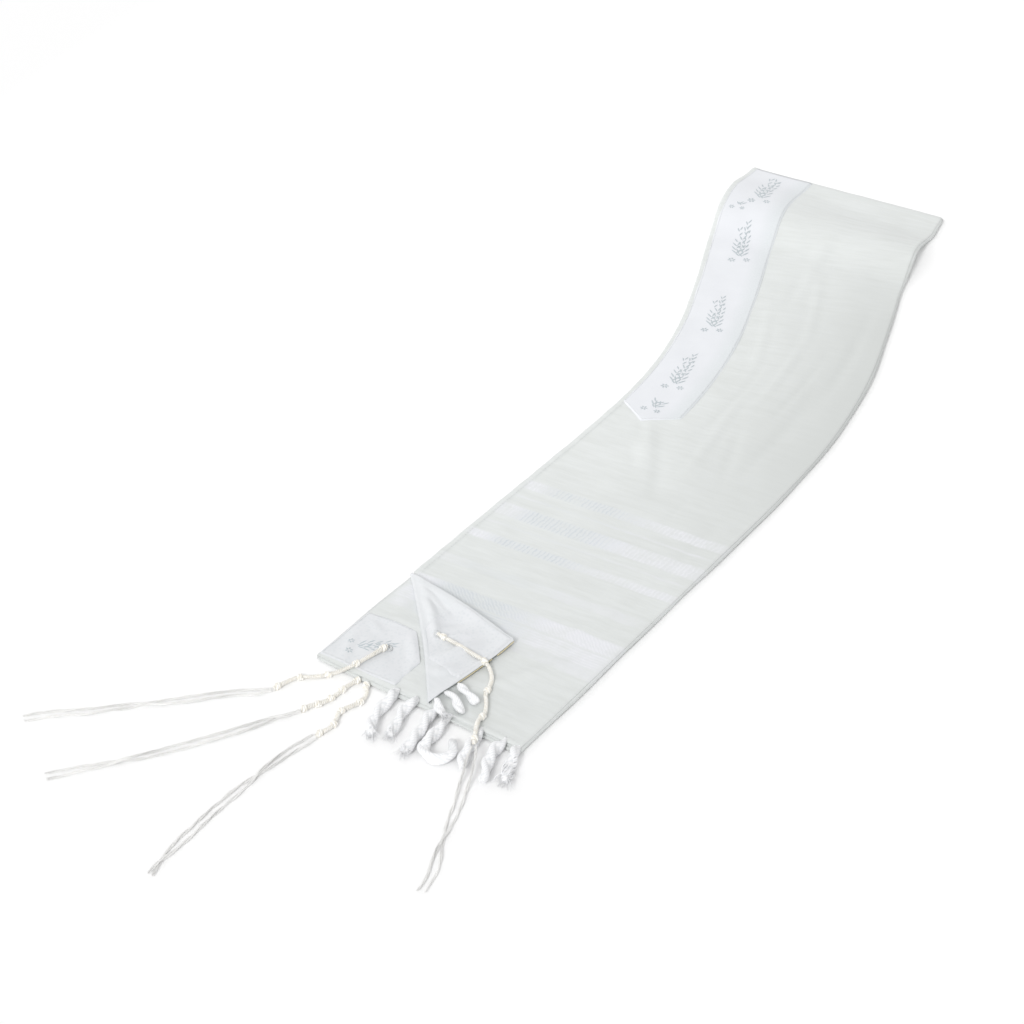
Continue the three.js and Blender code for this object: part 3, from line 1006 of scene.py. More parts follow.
TASSELS = (
    CornerTassel(
        1,
        ((41, -48, 8), (20, -44, 8), (0, -39.5, 8), (-9, -33, 4.8), (-18, -25, 2.5), (-27, -17, 2.5),
         (-36, -6, 2.5), (-49, -1, 2.5), (-61, 2, 2.5)),
        ((-63, 3, 3.6), (-75, 15, 3.6), (-88, 30, 3.6), (-121, 60, 3.6), (-153, 90, 3.6), (-185, 122, 3.6),
         (-203, 142, 3.6), (-218, 153, 3.6))),
    CornerTassel(
        2,
        ((-7, -52, 2.5), (-21, -49, 2.5), (-38, -48, 2.5), (-52, -45, 2.5), (-62, -39, 2.5), (-71, -36, 2.5)),
        ((-73, -35.4, 3.6), (-90, -26, 3.6), (-107, -17, 3.6), (-157, 11, 3.6), (-203, 39, 3.6),
         (-245, 71, 3.6), (-267, 87, 3.6))),
    CornerTassel(
        3,
        ((-8, -60, 2.5), (-20, -69, 2.5), (-33, -71.5, 2.5), (-43, -68, 2.5), (-54, -65, 2.5),
         (-74, -71, 2.5), (-92, -67, 2.5)),
        ((-94, -66.5, 3.6), (-116, -62, 3.6), (-142, -59, 3.6), (-202, -56, 3.6), (-257, -57, 3.6),
         (-291, -59, 3.6), (-314, -63, 3.6))),
    CornerTassel(
        4,
        ((79, -77, 11), (76, -100, 11), (72, -120, 11), (70, -131, 11), (66, -140, 9.9), (60, -147, 8.4),
         (53, -152, 8.4), (43, -156, 8.4), (33, -159, 8.4), (23, -166, 8.4), (10, -173, 8.4), (-3, -175, 9.6),
         (-18, -182, 11.6), (-34, -191, 11.6)),
        ((-36, -192, 12.2), (-47, -197, 12.2), (-62, -203.5, 9.6), (-77, -209, 5.8), (-103, -219, 3.6),
         (-141, -232, 3.6), (-171, -244, 3.6), (-190, -251, 3.6), (-206, -254, 3.6))),
)


# ---- Body cloth -----------------------------------------------------------------------
def crease_x(y: Array, shift: float) -> Array:
    """X of the turned corner's crease at a plan Y, moved onto the cloth by shift."""
    far, near = np.array(CREASE[0]), np.array(CREASE[2])
    along = (far - near) / np.linalg.norm(far - near)
    inward = np.array([along[1], -along[0]])
    line = np.array([np.array(CREASE[0]) + along * 60, *CREASE, near - along * 60]) + inward * shift
    order = np.argsort(line[:, 1])
    return np.interp(y, line[order, 1], line[order, 0])


@dataclass(frozen=True)
class HiddenLayer:
    """One of the three layers under the showing one."""

    number: int
    start: float
    end: float
    left: float
    right: float
    share: float
    step: float = 7.0
    columns: int = 38

    def build(self, finishes: Finishes) -> Piece:
        """Builds the layer, with slightly uneven edges."""
        rows = int((self.end - self.start) / self.step)
        u = np.linspace(0, 1, rows)[:, None] + np.zeros(self.columns)[None]
        v = 0.5 - 0.5 * np.cos(np.linspace(0, math.pi, self.columns))[None] + np.zeros(rows)[:, None]
        v = 0.35 * v + 0.65 * np.linspace(0, 1, self.columns)[None]
        along = self.start + (self.end - self.start) * u
        edge = 0.5 * np.sin(along / 47 + self.number * 2) + 0.3 * np.sin(along / 19 + self.number)
        across = self.left + (self.right - self.left) * v + edge * (2 * v - 1) / NOMINAL_WIDTH
        along = along + 0.8 * np.sin(across * 9 + self.number) * np.clip(1 - u * 12, 0, 1)
        x, y = STRIP.plan(along, across)
        base = (self.number - 1) * (CLOTH + GAP) + CLOTH
        rise = STRIP.relief(np.clip(along, 0, LENGTH), np.clip(across, 0, 1), self.share == 1) * self.share
        if self.share == 1:
            rise = rise + corner_relief(x, y) - 0.1
        rise = np.where(rise < 0, rise * 0.4, rise)
        uv = np.stack([along, across * NOMINAL_WIDTH], -1)
        points = to_frame(np.stack([x, y, base + rise], -1))
        piece = sheet_piece(f"hidden_layer_{self.number}", points, uv, CLOTH - 0.1, finishes.cloth)
        place(piece, "cloth", "hidden_layers")
        return piece


HIDDEN = (
    HiddenLayer(1, 1, 1078, 0.000, 0.994, 0.0),
    HiddenLayer(2, -3, 1077, 0.010, 1.004, 0.5),
    HiddenLayer(3, 0, 1079, 0.004, 1.010, 1.0),
)


def plan_bump(x: Array, y: Array, at: tuple[float, float], size: tuple[float, float], turn: float,
              height: float) -> Array:
    """A soft bump in plan coordinates.

    Args:
        x: plan X of the points.
        y: plan Y of the points.
        at: middle of the bump.
        size: its reach along and across itself.
        turn: its direction in degrees.
        height: its height, or a depth below zero.

    Returns:
        The height at each point.
    """
    a = math.radians(turn)
    u = ((x - at[0]) * math.cos(a) + (y - at[1]) * math.sin(a)) / size[0]
    v = ((y - at[1]) * math.cos(a) - (x - at[0]) * math.sin(a)) / size[1]
    inside = (np.abs(u) < 1) & (np.abs(v) < 1)
    return np.where(inside, height * np.cos(u * math.pi / 2) ** 2 * np.cos(v * math.pi / 2) ** 2, 0)


def corner_relief(x: Array, y: Array) -> Array:
    """Soft creases of the second layer's corner, in the open beside the turned one."""
    high = plan_bump(x, y, (104, -22), (34, 9), 32, 2.2)
    high = high + plan_bump(x, y, (82, -40), (9, 38), 6, 2.6)
    high = high + plan_bump(x, y, (24, -18), (30, 8), 20, 1.5)
    high = high + plan_bump(x, y, (52, -70), (36, 9), 38, 2.4)
    high = high + plan_bump(x, y, (34, -84), (30, 7), 32, -0.6)
    high = high + plan_bump(x, y, (18, -94), (30, 10), 42, 2.4)
    return high + plan_bump(x, y, (62, -22), (20, 7), 60, 1.0)


@dataclass(frozen=True)
class ShowingLayer:
    """The top layer, from the turned corner's crease and the fringed end to the crosswise fold."""

    crease_room: float = 1.6
    step: float = 3.3
    hem: float = 7.0
    hem_height: float = 0.55
    fold_reach: float = 3.2      # how far the crosswise fold rounds over
    edge_roll: float = 2.2       # the same at the lengthwise fold

    def first_row(self, across: Array) -> Array:
        """Where the layer begins along the cloth at each share across."""
        start = np.zeros_like(across)
        for _ in range(6):
            x, y = STRIP.plan(start, across)
            start = np.maximum(0.0, start + crease_x(y, self.crease_room) - x)
        return start

    def across_marks(self) -> Array:
        """Columns, closer at the hem and at the fold."""
        w = NOMINAL_WIDTH
        left = np.array([0, 0.35, 1.0, 2.0, 3.5, 5.0, 6.2, 6.8, 7.4, 8.6]) / w
        right = 1 - np.array([6.0, 4.0, 2.6, 1.6, 1.0, 0.5, 0.2, 0.0]) / w
        middle = np.linspace(left[-1], right[0], 66)[1:-1]
        return np.concatenate([left, middle, right])

    def height(self, along: Array, across: Array) -> Array:
        """Height of its upper face over lying flat, with the hem and the rounded edges."""
        left = across * NOMINAL_WIDTH
        right = (1 - across) * NOMINAL_WIDTH
        hem = self.hem_height * smooth(left / 0.8) * (1 - smooth((left - self.hem + 0.6) / 0.8))
        dent = -0.25 * np.exp(-((left - self.hem + 1.3) / 0.5) ** 2)
        ruffle = 0.25 * np.sin(along / 6.5 + 1.5 * np.sin(along / 29)) * np.exp(-(left / 6) ** 2)
        q = np.clip(1 - right / self.edge_roll, 0, 1)
        drop = -1.5 * (1 - np.sqrt(np.clip(1 - q * q, 0, 1)))
        end_hem = 0.5 * (1 - smooth((along - self.hem) / 0.8)) * smooth(along / 0.8)
        e = np.clip((along - (LENGTH - self.fold_reach)) / (self.fold_reach + 1.5), 0, 1)
        far = -4.3 * (1 - np.sqrt(np.clip(1 - e * e, 0, 1)))
        return TOP_FACE + hem + dent + ruffle + drop + end_hem + far

    def build(self, finishes: Finishes) -> Piece:
        """Builds the layer."""
        t = self.across_marks()
        rows = int(LENGTH / self.step)
        close = 1 - np.array([2.4, 1.6, 1.0, 0.5, 0.2, 0.0]) / LENGTH
        u = np.concatenate([np.linspace(0, 1, rows)[:-2], close])
        first = self.first_row(t)
        along = first[None] + (LENGTH + 1.5 - first[None]) * u[:, None]
        across = np.broadcast_to(t[None], along.shape)
        points = STRIP.surface(along, across, self.height(along, across))
        uv = np.stack([along, across * NOMINAL_WIDTH], -1)
        piece = sheet_piece("showing_layer_cloth", points, uv, CLOTH - 0.1, finishes.cloth)
        place(piece, "cloth", "showing_layer")
        return piece


@dataclass(frozen=True)
class TurnedCorner:
    """The corner of the top layer turned back over it, with its wrong side up."""

    rows: int = 74
    columns: int = 74
    hem: float = 7.0
    lift: float = 4.6
    roll: float = 1.35
    away: tuple[float, float, float] = (-0.630, 0.776, 0.0)    # level and square to the crease, off the cloth

    @property
    def sides(self) -> tuple[float, float]:
        """Lengths of its hemmed long side and of its fringed side."""
        tip, far, near = (np.array(p, float) for p in (TURNED_TIP, CREASE[0], CREASE[2]))
        return float(np.linalg.norm(far - tip)), float(np.linalg.norm(near - tip))

    def lie(self, p: Array, q: Array, height: Array = 0.0) -> Array:
        """Plan places on its upper face.

        Args:
            p: millimetres from the tip along the hemmed side.
            q: millimetres from the tip along the fringed side.
            height: millimetres above the face.

        Returns:
            Points in plan millimetres.
        """
        tip, far, near = (np.array(c, float) for c in (TURNED_TIP, CREASE[0], CREASE[2]))
        long, short = self.sides
        u, v = p / long, q / short
        bend = 4 * np.clip(u, 0, 1) * np.clip(v, 0, 1)
        x = tip[0] + (far - tip)[0] * u + (near - tip)[0] * v
        bow = 1.3 * np.sin(np.clip(v, 0, 1) * math.pi)
        y = tip[1] + (far - tip)[1] * u + (near - tip)[1] * v - 2.4 * bend - bow
        return np.stack([x, y, TURNED_FACE + self.relief(p, q) + height], -1)

    def relief(self, p: Array, q: Array) -> Array:
        """Height of its creases and lifted edge."""
        long, short = self.sides
        to_crease = np.clip((1 - p / long - q / short) * 8, 0, 1)
        wavy = 0.35 + 0.65 * np.sin(np.clip(p / long * 1.15, 0, 1) * math.pi)
        high = self.lift * np.exp(-(q / 13) ** 2) * wavy * smooth(to_crease + 0.15)
        high = high + 1.4 * np.exp(-(p / 7) ** 2) * smooth(to_crease)
        for at, size, turn, height in (
                ((98, 24), (40, 9), -22, 3.2), ((74, 40), (36, 8), -34, 2.6), ((60, 22), (34, 9), 50, -1.6),
                ((84, 12), (30, 6), -12, -1.4), ((30, 50), (38, 10), 74, 3.0), ((12, 62), (30, 7), 84, -1.2),
                ((26, 84), (30, 9), 62, 2.4), ((44, 34), (26, 7), 60, 1.8), ((110, 12), (26, 6), -6, 1.6)):
            high = high + plan_bump(p, q, at, size, turn, height) * smooth(to_crease)
        hem = 0.5 * (1 - smooth((np.minimum(p, q) - self.hem) / 0.8)) * smooth(np.minimum(p, q) / 0.7)
        return high + hem * smooth(to_crease * 2)

    def build(self, finishes: Finishes) -> Piece:
        """Builds the corner and the roll of its crease."""
        long, short = self.sides
        r = np.concatenate([[0.012, 0.03], np.linspace(0.05, 1.0, self.rows)])
        edge = np.array([0, 0.006, 0.02, 0.05])
        s = np.concatenate([edge, np.linspace(0.07, 0.93, self.columns), 1 - edge[::-1]])
        rr, ss = np.meshgrid(r, s, indexing="ij")
        p, q = rr * (1 - ss) * long, rr * ss * short
        plan = self.lie(p, q)
        top = plan[-1]
        away = np.array(self.away)
        rolled = []
        upward = np.array([0, 0, self.roll])
        for turn in np.radians([18, 38, 58, 80, 102, 124, 146, 166]):
            rolled.append(top - upward + away * self.roll * math.sin(turn) + upward * math.cos(turn))
        plan = np.concatenate([plan, np.array(rolled)])
        roll_uv = np.stack([p[-1], q[-1]], -1)
        steps = np.arange(1, len(rolled) + 1)[:, None, None] * 0.6
        uv = np.concatenate([np.stack([p, q], -1), roll_uv[None] + steps])
        uv = np.stack([uv[..., 1], uv[..., 0]], -1)
        piece = sheet_piece("turned_corner_cloth", to_frame(plan), uv, CLOTH - 0.2, finishes.wrong_side)
        place(piece, "cloth", "turned_corner")
        return piece


CORNER = TurnedCorner()


# ---- Satin pieces and what is worked on them ------------------------------------------
@dataclass
class Stitching:
    """A row of lockstitch, each stitch a short arched thread."""

    batch: Batch = field(default_factory=Batch)
    length: float = 2.3
    gap: float = 0.9
    thread: float = 0.15

    def row(self, line: Array) -> None:
        """Adds stitches along a line of plan points."""
        line = spaced(np.asarray(line, float), 0.8)
        at = run_along(line)
        start = self.gap / 2
        while start + self.length < at[-1]:
            marks = start + self.length * np.array([0.0, 0.25, 0.75, 1.0])
            stitch = points_at(marks, at, line)
            stitch[:, 2] += np.array([-0.12, 0.1, 0.1, -0.12])
            self.batch.tube(stitch, self.thread, 5)
            start += self.length + self.gap

    def build(self, name: str, finishes: Finishes) -> Piece:
        """Makes the piece of all its rows."""
        return place(self.batch.build(name, finishes.thread), "tzitzit_yarn")


@dataclass(frozen=True)
class Leaf:
    """One leaf or petal of a sprig, in millimetres from the sprig's middle."""

    x: float
    y: float
    turn: float
    length: float
    width: float = 1.5


@dataclass(frozen=True)
class Sprig:
    """A generic woven sprig: two small flowers and leafy stems that spray away from them."""

    scale: float = 1.0
    leaf_length: float = 9.2
    flower: float = 2.8

    def leaves(self) -> list[Leaf]:
        """Leaves in slanting pairs along each stem, and petals round each flower."""
        out = []
        rng = np.random.default_rng(5)
        for start, slope, curve, first, last in (
                (-0.6, -0.02, 0.0007, 9, 80), (-3.4, -0.09, 0.0008, 14, 62), (2.8, 0.07, -0.0010, 10, 68)):
            x = float(first)
            while x < last:
                share = (x - first) / (last - first)
                y = start + slope * x + curve * x * x
                heading = math.degrees(math.atan(slope + 2 * curve * x))
                gap = 2.5 - 1.1 * share
                for side in (-1, 1):
                    if rng.uniform() > 0.16:
                        shift = 3.0 * (side > 0) + rng.uniform(-1.0, 1.0)
                        out.append(Leaf(x + shift, y + side * gap + rng.uniform(-0.6, 0.6),
                                        heading + side * (31 - 15 * share) + rng.uniform(-9, 9),
                                        self.leaf_length * (1.08 - 0.4 * share) * rng.uniform(0.8, 1.15),
                                        1.9 - 0.5 * share))
                x += 8.4 + 1.6 * share
        for fx, fy, size in ((-3, -8, 1.0), (0, 8, 0.9)):
            for petal in range(6):
                turn = petal * 60 + 12
                a = math.radians(turn)
                reach = self.flower * size
                x, y = fx + reach * math.cos(a), fy + reach * math.sin(a)
                out.append(Leaf(x, y, turn, 3.6 * size, 1.9 * size))
        return out

    def add_to(self, batch: Batch, lie: Lie, middle: tuple[float, float], turn: float, raised: float = 0.24,
               keep: float = 200.0) -> None:
        """Adds the sprig to a batch.

        Args:
            batch: the mesh it goes into.
            lie: the function from cloth millimetres and height to plan places.
            middle: its place in cloth millimetres.
            turn: its direction on the cloth in degrees.
            raised: how far its floats stand up.
            keep: leaves further along than this are left out.
        """
        c, s = math.cos(math.radians(turn)), math.sin(math.radians(turn))
        for leaf in self.leaves():
            if leaf.x > keep:
                continue
            u = np.linspace(-1, 1, 7)
            half = 0.5 * leaf.width * self.scale * (1 - np.abs(u) ** 2.2) + 0.02
            a = math.radians(leaf.turn)
            rows = []
            for v, lifted in ((-1, -0.1), (-0.45, 0.8), (0.45, 0.8), (1, -0.1)):
                lx = (leaf.x + u * 0.5 * leaf.length * math.cos(a)) * self.scale - v * half * math.sin(a)
                ly = (leaf.y + u * 0.5 * leaf.length * math.sin(a)) * self.scale + v * half * math.cos(a)
                px, py = middle[0] + lx * c - ly * s, middle[1] + lx * s + ly * c
                rows.append((px, py, raised * lifted * (1 - 0.7 * u ** 4)))
            grid = np.array([np.stack(np.broadcast_arrays(*row), -1) for row in rows])
            points = lie(grid[..., 0], grid[..., 1], grid[..., 2])
            faces = grid_faces(4, 7)
            p = points.reshape(-1, 3)
            f = faces[len(faces) // 2]
            if np.cross(p[f[1]] - p[f[0]], p[f[2]] - p[f[0]])[2] < 0:
                faces = [tuple(reversed(face)) for face in faces]
            batch.add(p, faces, grid[..., :2].reshape(-1, 2))


@dataclass(frozen=True)
class Neckband:
    """The satin atara, sewn down along the middle of the long edge, pointed at its end."""

    left: float = 0.018
    right: float = 0.322
    point: float = 509.0
    shoulder: float = 534.0
    end: float = 1078.0
    border: float = 7.0
    sprigs: tuple[tuple[float, float], ...] = ((621, 0.165), (757, 0.17), (918, 0.18), (1034, 0.175))

    def lie(self, along: Array, side: Array, height: Array = 0.0) -> Array:
        """Plan places on the band from millimetres along and across the cloth."""
        across = side / NOMINAL_WIDTH
        x, y = STRIP.plan(along, across)
        z = TOP_FACE + GAP + TRIM + STRIP.relief(np.clip(along, 0, LENGTH), np.clip(across, 0, 1)) + height
        return np.stack([x, y, z + 0.22 * np.sin(along / 21 + side / 13)], -1)

    def start(self, share: Array) -> Array:
        """Where the band begins at a share of its own width."""
        return self.point + (self.shoulder - self.point) * np.abs(2 * share - 1)

    def build(self, finishes: Finishes) -> Piece:
        """Builds the band, its turned-under edges a little rounded."""
        width = (self.right - self.left) * NOMINAL_WIDTH
        v = np.concatenate([
            [0, 0.004, 0.012, 0.03, 0.05], np.linspace(0.08, 0.92, 21), [0.95, 0.97, 0.988, 0.996, 1]])
        u = np.concatenate([[0, 0.0008, 0.002, 0.004], np.linspace(0.007, 1, 170)])
        first = self.start(v)
        along = first[None] + (self.end - first[None]) * u[:, None]
        side = (self.left * NOMINAL_WIDTH + v * width)[None] + np.zeros_like(along)
        inner = np.minimum(np.minimum(v, 1 - v)[None] * width, (along - first[None]))
        fall = -EDGE_FALL * (1 - smooth(inner / 2.4)) - 0.12 * np.exp(-((inner - 3.0) / 0.6) ** 2)
        step = 0.12 * smooth((inner - self.border) / 0.8)
        points = to_frame(self.lie(along, side, fall - step))
        uv = np.stack([along, side], -1)
        piece = sheet_piece("neckband_satin_band", points, uv, TRIM - 0.1, finishes.neckband)
        place(piece, "neckband_satin", "neckband")
        return piece

    def dress(self, finishes: Finishes) -> None:
        """Adds its sprigs and the stitching round it."""
        batch = Batch()
        sprig = Sprig()
        for along, across in self.sprigs:
            start = along - 32
            sprig.add_to(batch, self.lie, (start, across * NOMINAL_WIDTH), -3, keep=LENGTH - 16 - start)
        Sprig(0.9).add_to(batch, self.lie, (534, 0.165 * NOMINAL_WIDTH), 6, keep=24)
        Sprig(0.7).add_to(batch, self.lie, (982, 0.09 * NOMINAL_WIDTH), 10, raised=0.12, keep=14)
        place(batch.build("neckband_sprigs", finishes.sprig), "neckband_satin")
        stitching = Stitching()
        for share in (0.03, 0.97):
            along = np.arange(float(self.start(share)) + 1.5, self.end, 2.0)
            side = (self.left + share * (self.right - self.left)) * NOMINAL_WIDTH
            stitching.row(self.lie(along, np.full_like(along, side), 0.08))
        share = np.linspace(0.04, 0.96, 41)
        side = (self.left + share * (self.right - self.left)) * NOMINAL_WIDTH
        stitching.row(self.lie(self.start(share) + 2.2, side, 0.08))
        stitching.build("neckband_stitching", finishes)


class PatchSide(Enum):
    """Where a corner patch is sewn."""

    LOWER = "corner_patch_lower"
    TURNED = "corner_patch_turned"


@dataclass(frozen=True)
class CornerPatch:
    """A satin corner patch with a worked eyelet and a small woven sprig."""

    where: PatchSide
    eyelet: tuple[float, float]
    wide: float
    deep: float

    def lie(self, a: Array, b: Array, height: Array = 0.0) -> Array:
        """Plan places on the patch, from the cloth's corner along its end and its long side."""
        height = height + 0.3 * np.sin(np.asarray(a) / 11 + np.asarray(b) / 7)
        if self.where is PatchSide.TURNED:
            return CORNER.lie(b, a, GAP + TRIM + height)
        x, y = np.asarray(b, float), -np.asarray(a, float)
        z = SECOND_FACE + GAP + TRIM + corner_relief(x, y) + height
        return np.stack([x + 0 * y, y + 0 * x, z], -1)

    def limit(self, a: Array) -> Array:
        """How far the patch reaches along the long side, at a distance along the end."""
        if self.where is PatchSide.TURNED:
            long, short = CORNER.sides
            return np.minimum(self.deep, long * (0.975 - a / short))
        return np.minimum(self.deep, crease_x(-a, -5.0))

    def build(self, finishes: Finishes) -> Piece:
        """Builds the patch."""
        edges = np.array([0, 0.005, 0.015, 0.03])
        u = np.concatenate([edges, np.linspace(0.05, 0.95, 34), 1 - edges[::-1]])
        a = EDGE_MARGIN + (self.wide - EDGE_MARGIN) * u
        b0 = np.full_like(a, EDGE_MARGIN)
        b1 = self.limit(a)
        b = b0[None] + (b1 - b0)[None] * u[:, None]
        aa = np.broadcast_to(a[None], b.shape)
        inner = np.minimum.reduce([aa - EDGE_MARGIN, self.wide - aa, b - EDGE_MARGIN, self.deep - b])
        fall = -EDGE_FALL * (1 - smooth(inner / 1.6)) - 0.15 * np.exp(-((inner - 2.4) / 0.6) ** 2)
        points = self.lie(aa, b, fall)
        piece = sheet_piece(self.where.value + "_satin", to_frame(points), np.stack([b, aa], -1), TRIM - 0.1,
                            finishes.patch)
        place(piece, "patch_satin", self.where.value)
        return piece

    def dress(self, finishes: Finishes) -> None:
        """Adds its sprig, its stitching and the worked eyelet."""
        batch = Batch()
        Sprig(0.85).add_to(batch, self.lie, (20, 26), 38, raised=0.2, keep=48)
        place(batch.build(self.where.value + "_sprig", finishes.sprig), "patch_satin")
        stitching = Stitching()
        inset = EDGE_MARGIN + 2.0
        run = np.arange(inset, self.wide - 2, 2.0)
        stitching.row(self.lie(run, np.full_like(run, inset), 0.08))
        far = np.minimum(self.deep - 2.0, self.limit(run) - 2.0)
        keep = far >= self.deep - 2.1
        stitching.row(self.lie(run[keep], far[keep], 0.08))
        run = np.arange(inset, float(self.limit(np.array(inset))) - 2, 2.0)
        stitching.row(self.lie(np.full_like(run, inset), run, 0.08))
        ring = np.linspace(0, math.tau, 33)
        centre = self.eyelet
        circle = self.lie(centre[0] + 3.9 * np.cos(ring), centre[1] + 3.9 * np.sin(ring), 0.3)
        stitching.batch.tube(circle, 0.6, 6)
        for turn in np.linspace(0, math.tau, 26, endpoint=False):
            reach = np.array([2.9, 3.5, 4.5, 5.6])
            spoke = self.lie(centre[0] + reach * np.cos(turn), centre[1] + reach * np.sin(turn),
                             np.array([0.2, 0.95, 0.95, 0.05]))
            stitching.batch.tube(spoke, 0.3, 5)
        stitching.build(self.where.value + "_stitching", finishes)


PATCHES = (
    CornerPatch(PatchSide.LOWER, (48, 41), PATCH_DEPTH, PATCH),
    CornerPatch(PatchSide.TURNED, (48, 60), 76.0, PATCH),
)


def shadow_edging(finishes: Finishes) -> None:
    """A thread along the fringed side of the turned corner, its ivory-gold colour a painted contact shadow
    along that edge.
    """
    batch = Batch()
    _, short = CORNER.sides
    for first, last in ((1.5, 26.0), (33.0, short * 0.70)):
        q = np.arange(first, last, 1.0)
        line = CORNER.lie(np.full_like(q, -0.3), q, -0.7)
        batch.tube(line, 0.5, 7)
    place(batch.build("turned_corner_edging", finishes.shadow_edging), "tzitzit_yarn")


def hem_stitching(finishes: Finishes) -> None:
    """Stitches down the hems of the showing layer and of the turned corner."""
    stitching = Stitching(length=2.6, gap=1.4, thread=0.17)
    layer = ShowingLayer()
    along = np.arange(165.0, 1070.0, 2.5)
    across = np.full_like(along, (layer.hem - 1.3) / NOMINAL_WIDTH)
    x, y = STRIP.plan(along, across)
    stitching.row(np.stack([x, y, layer.height(along, across) + STRIP.relief(along, across) + 0.25], -1))
    across = np.arange(0.60, 0.985, 0.01)
    along = np.full_like(across, layer.hem - 1.3)
    x, y = STRIP.plan(along, across)
    stitching.row(np.stack([x, y, layer.height(along, across) + STRIP.relief(along, across) + 0.05], -1))
    long, _ = CORNER.sides
    p = np.arange(PATCH + 4, long * 0.93, 2.0)
    stitching.row(CORNER.lie(p, np.full_like(p, CORNER.hem - 1.3), 0.05))
    stitching.build("hem_stitching", finishes)


# ---- Fringe ---------------------------------------------------------------------------
class EndStyle(Enum):
    """How a fringe tassel ends."""

    ROUND = "round"
    FRAYED = "frayed"
    LOOSE = "loose"


@dataclass(frozen=True)
class FringeTassel:
    """A loosely twisted roving, hanging from the end of the cloth."""

    node: str
    route: tuple[tuple[float, float, float], ...]
    end: EndStyle
    radius: float = 6.1
    pitch: float = 50.0
    plies: int = 2
    yarns: int = 11
    yarn_pitch: float = 21.0
    yarn_radius: float = 0.86
    sway: float = 3.2

    def build(self, finishes: Finishes) -> Piece:
        """Builds its plies of finer yarns, and the fibres of its end."""
        seed = sum(ord(c) for c in self.node)
        rng = np.random.default_rng(seed)
        line = curve_through(self.route, 1.1)
        line[:, 2] += (self.radius - 4.0) * smooth(np.arange(len(line)) / 12)
        side, _ = frames(line)
        share = np.linspace(0, 1, len(line))
        reach = steps(line).sum()
        sway = smooth(share * 2.5) * self.sway * np.sin(share * reach / 15 + seed * 1.7)
        line = line + side * sway[:, None]
        side, up = frames(line)
        batch = Batch()
        full = 0.5 + 0.5 * smooth(share / 0.22)
        full = full * (0.90 + 0.10 * np.sin(share * reach / 9 + seed))
        if self.end is EndStyle.ROUND:
            full = full * np.sqrt(np.clip(1 - np.clip((share - 0.86) / 0.145, 0, 1) ** 2, 0, 1))
        elif self.end is EndStyle.FRAYED:
            full = full * (1 - 0.15 * smooth((share - 0.8) / 0.2))
        else:
            full = full * (0.75 + 0.35 * share)
        spread = 0.42 * self.radius
        ply_radius = 0.58 * self.radius
        for ply in range(self.plies):
            turn = share * reach / self.pitch * math.tau + ply * math.tau / self.plies + seed
            middle = line + around(side, up, turn) * (spread * full)[:, None]
            for yarn in range(self.yarns):
                spin = -share * reach / self.yarn_pitch * math.tau + yarn * math.tau / self.yarns
                strand = middle + around(side, up, spin) * ((ply_radius - 0.6) * full)[:, None]
                keep = len(line) - int(rng.uniform(0, 5)) * (self.end is not EndStyle.ROUND)
                thick = (0.55 + 0.45 * full) * self.yarn_radius
                if self.end is EndStyle.LOOSE:
                    fan = smooth((share - 0.35) / 0.65) * rng.uniform(-4.5, 4.5)
                    strand = strand + side * fan[:, None]
                    thick = thick * (1 - 0.35 * smooth((share - 0.3) / 0.7))
                thick = thick * np.where(share > 0.985, 0.6, 1)
                batch.tube(strand[:keep], thick[:keep], 6, yarn * 0.17)
        batch.tube(line, np.maximum(0.3, (self.radius - 1.5) * full), 8)
        if self.end is not EndStyle.ROUND:
            self.fray(batch, line[-1], line[-1] - line[-4], rng)
        return place(batch.build(self.node + "_roving", finishes.fringe), "fringe_yarn", self.node)

    def fray(self, batch: Batch, tip: Array, ahead: Array, rng: np.random.Generator) -> None:
        """Adds loose fibres at the end.

        Args:
            batch: the mesh they go into.
            tip: the end of the roving.
            ahead: the way it points.
            rng: the random draws of this tassel.
        """
        ahead = ahead / np.linalg.norm(ahead)
        side = np.cross(ahead, (0, 0, 1))
        for _ in range(46 if self.end is EndStyle.LOOSE else 34):
            a, r = rng.uniform(0, math.tau), self.radius * 0.8 * math.sqrt(rng.uniform(0, 1))
            start = tip - ahead * 2.5 + side * r * math.cos(a) + np.array([0, 0, 0.8 * r * math.sin(a)])
            length, fan = rng.uniform(3.5, 9.5), rng.uniform(-0.5, 0.5) + 0.09 * r * math.cos(a)
            t = np.linspace(0, 1, 6)
            fibre = start + np.outer(t * length, ahead) + np.outer(t ** 1.5 * length * fan, side)
            fibre[:, 2] = np.maximum(0.4, fibre[:, 2] - t ** 2 * rng.uniform(0, 3.0))
            batch.tube(fibre, 0.34 * (1 - 0.6 * t), 4)


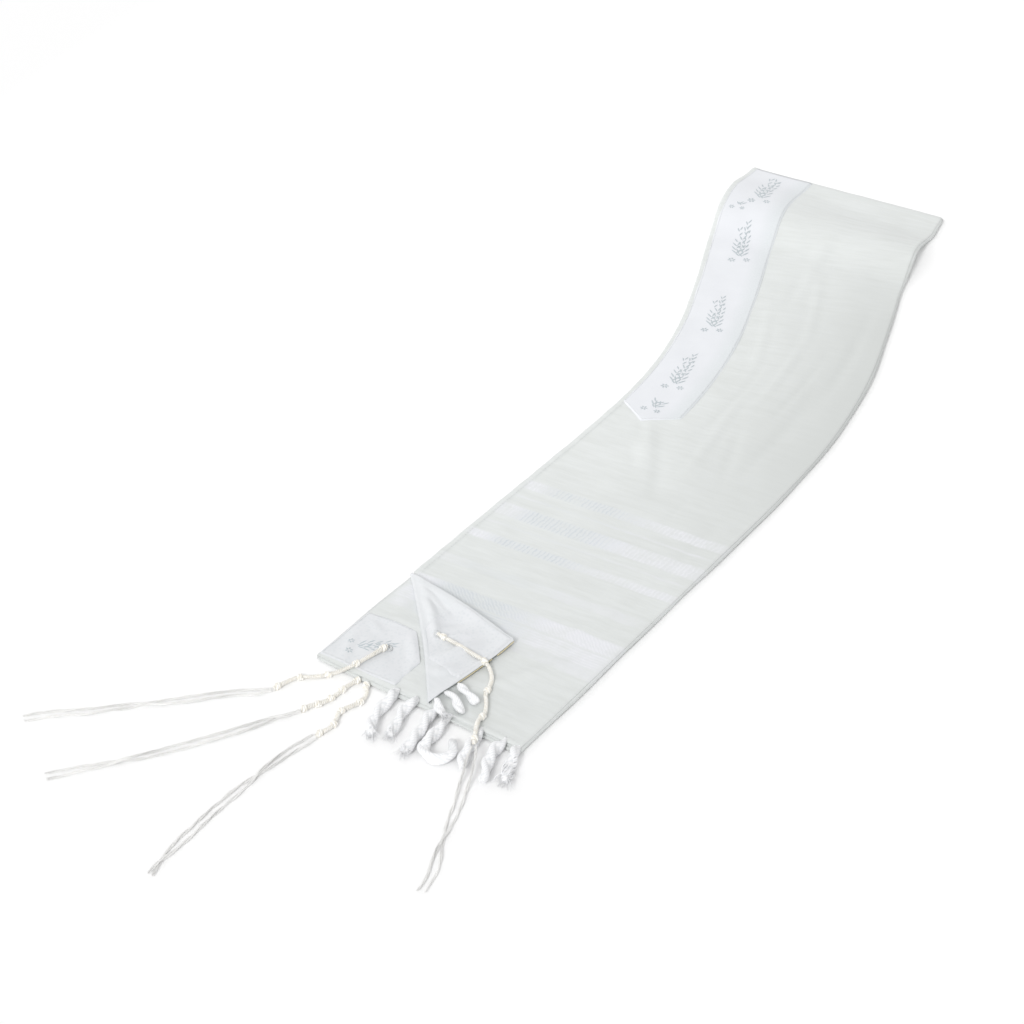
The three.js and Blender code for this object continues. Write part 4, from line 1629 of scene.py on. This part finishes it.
FRINGE = (
    FringeTassel("fringe_1", ((-2, -89, 4.6), (-9, -90, 4.1), (-42, -98, 4.1), (-68, -107, 4.1)),
                 EndStyle.FRAYED),
    FringeTassel("fringe_2", ((-3, -111, 4.6), (-11, -112, 4.1), (-40, -117, 4.1), (-60, -118, 4.1)),
                 EndStyle.FRAYED),
    FringeTassel("fringe_3", ((-5, -133, 4.6), (-13, -134, 4.1), (-50, -138, 4.1), (-71, -144, 4.1)),
                 EndStyle.FRAYED),
    FringeTassel("fringe_4", ((-5, -147, 4.6), (-13, -148, 4.1), (-34, -150, 4.1), (-56, -157, 4.1),
                              (-62, -170, 4.1), (-50, -178, 4.1), (-33, -172, 4.1)), EndStyle.ROUND),
    FringeTassel("fringe_5", ((-5, -181, 4.6), (-14, -183, 4.1), (-38, -190, 4.1), (-61, -197, 4.1)),
                 EndStyle.ROUND, 5.8),
    FringeTassel("fringe_6", ((-6, -205, 4.6), (-15, -207, 4.1), (-45, -211, 4.1), (-68, -218, 4.1)),
                 EndStyle.ROUND),
    FringeTassel("fringe_7", ((-6, -219, 4.4), (-15, -221, 4.1), (-38, -226, 4.1), (-55, -234, 4.1)),
                 EndStyle.LOOSE),
    FringeTassel("fringe_turned_1", ((30, -132, 8.6), (28, -135, 9.6), (19, -147, 9.6), (14, -160, 9.6)),
                 EndStyle.ROUND, 4.3),
    FringeTassel("fringe_turned_2", ((15, -129, 8.6), (13, -133, 9.6), (6, -146, 9.6), (0, -159, 9.6)),
                 EndStyle.ROUND, 4.3),
    FringeTassel("fringe_turned_3", ((1, -128, 8.6), (-1, -131, 9.6), (-8, -141, 11.0), (-15, -151, 12.5)),
                 EndStyle.FRAYED, 4.3),
)


def main() -> None:
    """Builds the camera, the cords, the cloth and its trimmings, and reports each piece."""
    logging.basicConfig(level=logging.INFO, format="%(name)s: %(message)s")
    ShotCamera().build()
    finishes = Finishes()
    for tassel in TASSELS:
        tassel.build(finishes)
    for layer in HIDDEN:
        layer.build(finishes)
    ShowingLayer().build(finishes)
    CORNER.build(finishes)
    band = Neckband()
    band.build(finishes)
    band.dress(finishes)
    for patch in PATCHES:
        patch.build(finishes)
        patch.dress(finishes)
    hem_stitching(finishes)
    shadow_edging(finishes)
    for tassel in FRINGE:
        tassel.build(finishes)
    Studio().build(finishes)


if __name__ == "__main__":
    main()
